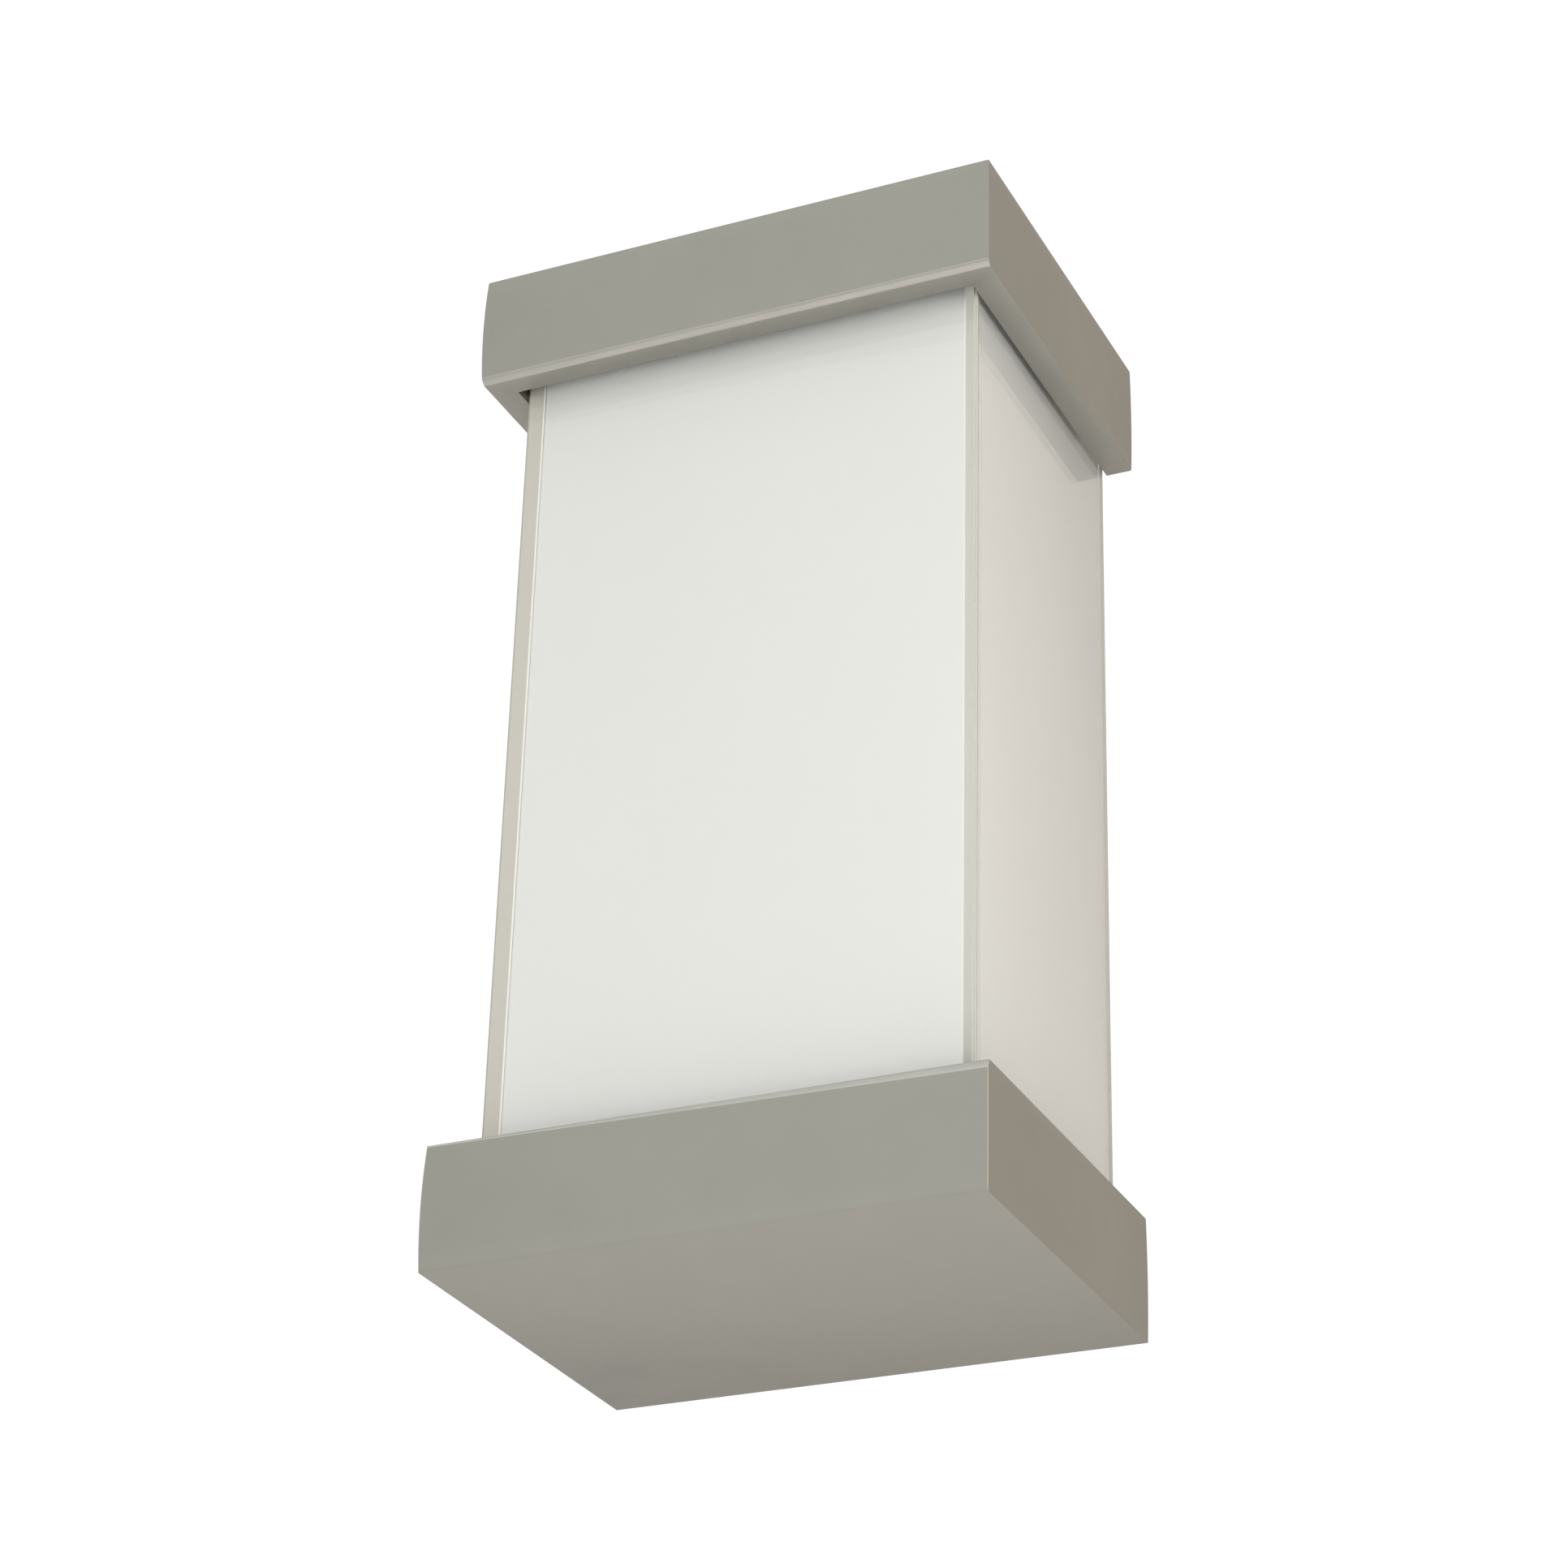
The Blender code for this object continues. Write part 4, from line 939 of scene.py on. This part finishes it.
def make_plates():
    """The frames under the cap and in the base, and the turn buttons that hold the glass."""
    low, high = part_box("base_frame")
    at_screws = [(middle(n).x, middle(n).y, SCREW_HOLE) for n in NODES if n.startswith("base_screw")]
    outline = rounded_outline(low.xy, high.xy, PLATE_CORNER)
    stand_for("base_frame", plate_mesh(outline, low.z, high.z, at_screws))

    low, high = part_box("top_frame")
    holes = [rounded_outline(*LAMP_WINDOW, 0.0025)]
    holes += [(middle(n).x, middle(n).y, SCREW_HOLE) for n in NODES if n.startswith("top_frame_screw")]
    holes += [(middle(n).x, middle(n).y, NECK_HOLE) for n in NODES if n.startswith("cap_standoff")]
    holes += [(middle(n).x, middle(n).y, CLIP_SCREW_HOLE) for n in NODES if n.startswith("clip_screw")]
    outline = rounded_outline(low.xy, high.xy, PLATE_CORNER)
    stand_for("top_frame", plate_mesh(outline, low.z, high.z, holes))

    for name, side in SIDES.items():
        low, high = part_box(f"glass_clip_{name}")
        pivot = middle(f"clip_screw_{name}")
        half = (high.y - low.y) / 2
        reach = max(abs(low.x), abs(high.x)) - half
        tail = min(abs(low.x), abs(high.x))
        outline = arc((reach, pivot.y), half, -90, 90, 24)
        outline += [(tail, pivot.y + half), (tail, pivot.y - half)]
        outline = [(side * x, y) for x, y in outline]
        clip = plate_mesh(outline, low.z, high.z, [(pivot.x, pivot.y, SCREW_HOLE)], 0.0003)
        stand_for(f"glass_clip_{name}", clip)


def make_wall_side():
    """The pan with its rolled corners, its foam gasket and the slotted strap."""
    low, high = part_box("back_pan")
    bend, behind = 0.0022, 0.01
    pan = bevelled(block_mesh(low, (high.x, behind, high.z)), bend, 4)
    corner = low + Vector((SHEET, SHEET, SHEET))
    inside = block_mesh(corner, (high.x - SHEET, 2 * behind, high.z - SHEET))
    pan = cut_by(pan, bevelled(inside, bend - SHEET, 3), block_mesh((-1, high.y, -1), (1, 1, 1)))
    web = low.y
    grommet = middle("lead_grommet")
    holes = [rod_mesh((grommet.x, web, grommet.z), GROMMET_HOLE, DRILL_LONG, "Y")]
    for side in SIDES:
        stud, rivet = middle(f"mounting_stud_{side}"), middle(f"bracket_rivet_{side}")
        screw = middle(f"base_screw_back_{side}")
        holes.append(rod_mesh((stud.x, web, stud.z), STUD_HOLE, DRILL_LONG, "Y"))
        holes.append(rod_mesh((rivet.x, web, rivet.z), RIVET_HOLE, DRILL_LONG, "Y"))
        for level in (low.z, high.z):
            holes.append(rod_mesh((screw.x, screw.y, level), SCREW_HOLE, DRILL_LONG))
    stand_for("back_pan", cut_by(pan, *holes), 25)

    low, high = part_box("wall_gasket")
    wide = GASKET_WIDE
    inside = block_mesh((low.x + wide, -1, low.z + wide), (high.x - wide, 1, high.z - wide))
    stand_for("wall_gasket", bevelled(cut_by(block_mesh(low, high), inside), 0.0005, 3))

    low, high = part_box("mounting_strap")
    holes = [(middle(n).x, 0, 0.0024) for n in NODES if n.startswith("mounting_stud")]
    holes.append((middle("ground_screw").x, 0, 0.0022))
    for side in SIDES.values():
        x, long, wide = side * BOX_SCREW_X, SLOT_HALF_LONG, SLOT_HALF_WIDE
        holes.append(rounded_outline((x - long, -wide), (x + long, wide), wide))
    outline = rounded_outline((low.x, low.z), (high.x, high.z), 0.0025)
    strap = plate_mesh(outline, 0, high.y - low.y, holes, 0.00025)
    stand_for("mounting_strap", set_at(strap, (0, high.y, 0), "-Y"))


# ---- socket
ROLLED_PITCH = 0.0036


def rolled_shell(radius, wall, wave, high, low):
    """A thin tube with the lamp's rolled thread, a helix in both its faces."""
    count = round((high - low) / ROLLED_PITCH * 10)
    levels = [high + (low - high) * i / count for i in range(count + 1)]
    rows = [(radius, z) for z in levels] + [(radius - wall, z) for z in reversed(levels)]

    def groove(angle, z):
        return wave * (0.5 - 0.5 * math.cos(2 * math.pi * (high - z) / ROLLED_PITCH + angle))

    return turned_mesh(rows, 72, closed=True, relieved=range(len(rows)), relief=groove)


def make_socket():
    """The bracket with its rivets, and the porcelain body with its shell and contact."""
    low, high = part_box("socket_bracket")
    bend, inner = 0.0025, 0.001
    shelf = low.z + SHEET
    outline = [(low.y, low.z)]
    outline += arc((high.y - bend, low.z + bend), bend, -90, 0)
    outline += [(high.y, high.z), (high.y - SHEET, high.z)]
    outline += arc((high.y - SHEET - inner, shelf + inner), inner, 0, -90) + [(low.y, shelf)]
    bracket = set_at(prism_mesh(outline, low.x, high.x), (0, 0, 0), "X")
    lamp = middle("bulb_globe")
    holes = [rod_mesh((0, lamp.y, shelf), 0.0055, 0.02)]
    for side in SIDES:
        screw, rivet = middle(f"socket_screw_{side}"), middle(f"bracket_rivet_{side}")
        holes.append(rod_mesh((screw.x, screw.y, shelf), 0.0019, 0.02))
        holes.append(rod_mesh((rivet.x, high.y, rivet.z), RIVET_HOLE, 0.02, "Y"))
        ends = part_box(f"bracket_rivet_{side}")
        radius, head = 0.0030, 0.0012
        tail = ends[1].y - ends[0].y - head
        dome = [(radius * math.sin(a), head * math.cos(a)) for a in angles(15, 1, 7)]
        profile = [(0, head), *dome, (0.0014, 0), (0.0014, -tail + 0.0003), (0.0011, -tail), (0, -tail)]
        at = (rivet.x, ends[1].y - tail, rivet.z)
        stand_for(f"bracket_rivet_{side}", set_at(turned_mesh(profile), at, "-Y"))
    stand_for("socket_bracket", bevelled(cut_by(bracket, *holes), 0.0002))

    low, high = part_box("socket_body")
    radius, bore, edge, tall, floor = 0.0185, 0.0152, 0.0010, high.z - low.z, 0.0100
    profile = arc((radius - edge, tall - edge), edge, 90, 0, 5)
    profile += [(radius, 0.62 * tall), (radius - 0.0005, 0.60 * tall)]
    profile += [(radius - 0.0005, 0.56 * tall), (radius, 0.54 * tall)]
    profile += arc((radius - edge, edge), edge, 0, -90, 5)
    profile += [(0, 0), (0, floor), (bore - 0.001, floor), (bore, floor + 0.001), (bore, tall - 0.0003)]
    body = turned_mesh([(bore + 0.0003, tall)] + profile, 96, closed=True)
    holes = [rod_mesh((side * 0.0095, 0, 0), 0.0018, 0.016) for side in SIDES.values()]
    holes += [rod_mesh((side * 0.0030, 0, 0), 0.0013, 0.008) for side in SIDES.values()]
    stand_for("socket_body", set_at(cut_by(body, *holes), (0, lamp.y, low.z)))

    low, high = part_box("socket_shell")
    shell = rolled_shell((high.x - low.x) / 2, 0.0004, 0.0006, high.z, low.z)
    stand_for("socket_shell", set_at(shell, (0, lamp.y, 0)))

    low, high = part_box("socket_contact")
    thin = 0.0005
    contact = block_mesh(low, (high.x, high.y, low.z + thin))
    tongue = block_mesh((low.x, lamp.y - 0.002, low.z + thin / 2), high)
    stand_for("socket_contact", bevelled(joined(contact, tongue), 0.0002))


# ---- lamp
def make_lamp():
    """A pear-shaped envelope with a rolled cap, an insulator and a soldered tip."""
    low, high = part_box("bulb_globe")
    radius, wall, neck = (high.x - low.x) / 2, 0.0012, 0.0128
    at = middle("bulb_globe")
    centre = high.z - radius
    waist = math.radians(-40)
    crown = [math.radians(85 - 5 * step) for step in range(25)]
    outside = [(0, high.z)]
    outside += [(radius * math.cos(a), centre + radius * math.sin(a)) for a in crown]
    start = (radius * math.cos(waist), centre + radius * math.sin(waist))
    for step in range(1, 13):
        share = step / 12
        ease = share * share * (3 - 2 * share)
        width = start[0] + (neck - start[0]) * (share + ease) / 2
        outside.append((width, start[1] + (low.z - start[1]) * share))
    inside = [(max(r - wall, 0), z - wall * max(0, (z - centre) / radius)) for r, z in outside]
    stand_for("bulb_globe", set_at(turned_mesh(outside + inside[::-1], 96), (0, at.y, 0)))

    low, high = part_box("bulb_cap")
    cap = rolled_shell((high.x - low.x) / 2, 0.0008, 0.0009, high.z, low.z)
    stand_for("bulb_cap", set_at(cap, (0, at.y, 0)))

    low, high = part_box("bulb_insulator")
    wide, tall = (high.x - low.x) / 2, high.z - low.z
    profile = [(0, tall), (wide, tall), (wide, tall - 0.0013)]
    profile += [
        (0.0062 + (wide - 0.0062) * math.cos(a), (tall - 0.0013) * (1 - math.sin(a)))
        for a in angles(15, 1, 7)
    ]
    stand_for("bulb_insulator", set_at(turned_mesh([*profile, (0, 0)]), (0, at.y, low.z)))

    low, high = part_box("bulb_tip")
    wide, tall = (high.x - low.x) / 2, high.z - low.z
    dome = [(wide * math.cos(a), tall * (0.5 - 0.5 * math.sin(a))) for a in angles(15, 0, 6)]
    profile = [(0, tall), (wide, tall), *dome, (0, 0)]
    stand_for("bulb_tip", set_at(turned_mesh(profile), (0, at.y, low.z)))


# ---- leads and connectors
LEAD_RADIUS = 0.0010
LEAD_STEP = 0.0015
CONNECTOR_RIBS = 14


def lead_mesh(points):
    """A round lead on a Catmull-Rom curve through the points."""
    route = []
    ends = [points[0], *points, points[-1]]
    for a, b, c, d in zip(ends, ends[1:], ends[2:], ends[3:]):
        count = max(3, round(math.dist(b, c) / LEAD_STEP))
        for step in range(count):
            t = step / count
            route.append([
                0.5 * (
                    2 * q + (r - p) * t
                    + (2 * p - 5 * q + 4 * r - s) * t**2 + (3 * q - p - 3 * r + s) * t**3
                )
                for p, q, r, s in zip(a, b, c, d)
            ])
    route.append(points[-1])
    curve = bpy.data.curves.new("lead", "CURVE")
    curve.dimensions = "3D"
    curve.bevel_depth = LEAD_RADIUS
    curve.bevel_resolution = 4
    curve.use_fill_caps = True
    spline = curve.splines.new("POLY")
    spline.points.add(len(route) - 1)
    for point, place in zip(spline.points, route):
        point.co = (*place, 1.0)
    return baked(scratch(curve))


def make_wiring():
    """Two leads from the socket through the grommet to their connectors, and the ground lead."""
    pan, bracket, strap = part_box("back_pan"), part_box("socket_bracket"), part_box("mounting_strap")
    grommet, lamp = middle("lead_grommet"), middle("bulb_globe")
    web, hollow = pan[0].y, middle("wire_connector_live").y
    for kind, side in (("live", -1), ("neutral", 1)):
        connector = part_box(f"wire_connector_{kind}")
        end = side * 0.020
        stand_for(f"lead_{kind}", lead_mesh([
            (side * 0.003, lamp.y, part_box("socket_body")[0].z + 0.003),
            (side * 0.003, lamp.y, bracket[0].z + SHEET - 0.006),
            (side * 0.003, lamp.y + 0.005, grommet.z + 0.003),
            (side * 0.002, lamp.y + 0.014, grommet.z),
            (side * 0.002, web - 0.006, grommet.z),
            (side * 0.002, web + 0.003, grommet.z),
            (side * 0.005, hollow, grommet.z + 0.010),
            (side * 0.012, hollow, grommet.z + 0.040),
            (side * 0.019, hollow, -0.020),
            (end, hollow, 0.010),
            (end, hollow, connector[0].z + 0.004),
        ]), 60)
        profile = [(0, 0.022), (0.0030, 0.0218), (0.0037, 0.0212), (0.0042, 0.020)]
        profile += [(0.0042 + 0.0020 * i / 8, 0.020 - 0.016 * i / 8) for i in range(1, 9)]
        ribbed = range(4, 11)
        profile += [(0.0062, 0.0003), (0.0059, 0), (0.0045, 0)]
        profile += [(0.0042, 0.0003), (0.0036, 0.006), (0, 0.006)]
        mesh = turned_mesh(
            profile, 6 * CONNECTOR_RIBS, relieved=ribbed,
            relief=lambda angle, _: 0.0006 * (0.5 - 0.5 * math.cos(CONNECTOR_RIBS * angle)),
        )
        stand_for(f"wire_connector_{kind}", set_at(mesh, (end, hollow, connector[0].z)), 40)

    screw, ground = middle("ground_screw"), middle("pan_ground_screw")
    seat = strap[0].y
    bench = web + SHEET + PIECE_GAP + 0.0035
    stand_for("lead_ground", lead_mesh([
        (screw.x + 0.0050, seat - 0.0022, -0.001),
        (screw.x + 0.0085, seat - 0.0040, -0.008),
        (screw.x + 0.0110, hollow, -0.022),
        (ground.x - 0.0080, bench + 0.001, -0.031),
        (ground.x - 0.0045, bench - 0.001, -0.0305),
    ]), 60)

    lip, bore, groove = 0.0068, 0.0047, 0.0050
    inner, outer = SHEET + 0.0004, SHEET + 0.0022
    profile = [
        (bore, 0.0022), (lip - 0.0006, 0.0022), (lip, 0.0016), (lip, 0.0004), (groove, 0.0004),
        (groove, -inner), (lip, -inner), (lip, 0.0006 - outer), (lip - 0.0006, -outer), (bore, -outer),
    ]
    stand_for("lead_grommet", set_at(turned_mesh(profile, closed=True), (0, web, grommet.z), "-Y"))


# ---- main
make_camera()
make_studio()
MATERIALS = make_materials()
for name, item in NODES.items():
    item.data.materials.clear()
    item.data.materials.append(MATERIALS[SLOT_OF[name]])
make_shells()
make_clear_panes()
make_opal_panes()
make_screws()
make_thumb_screws()
make_studs()
make_standoffs()
make_plates()
make_wall_side()
make_socket()
make_lamp()
make_wiring()
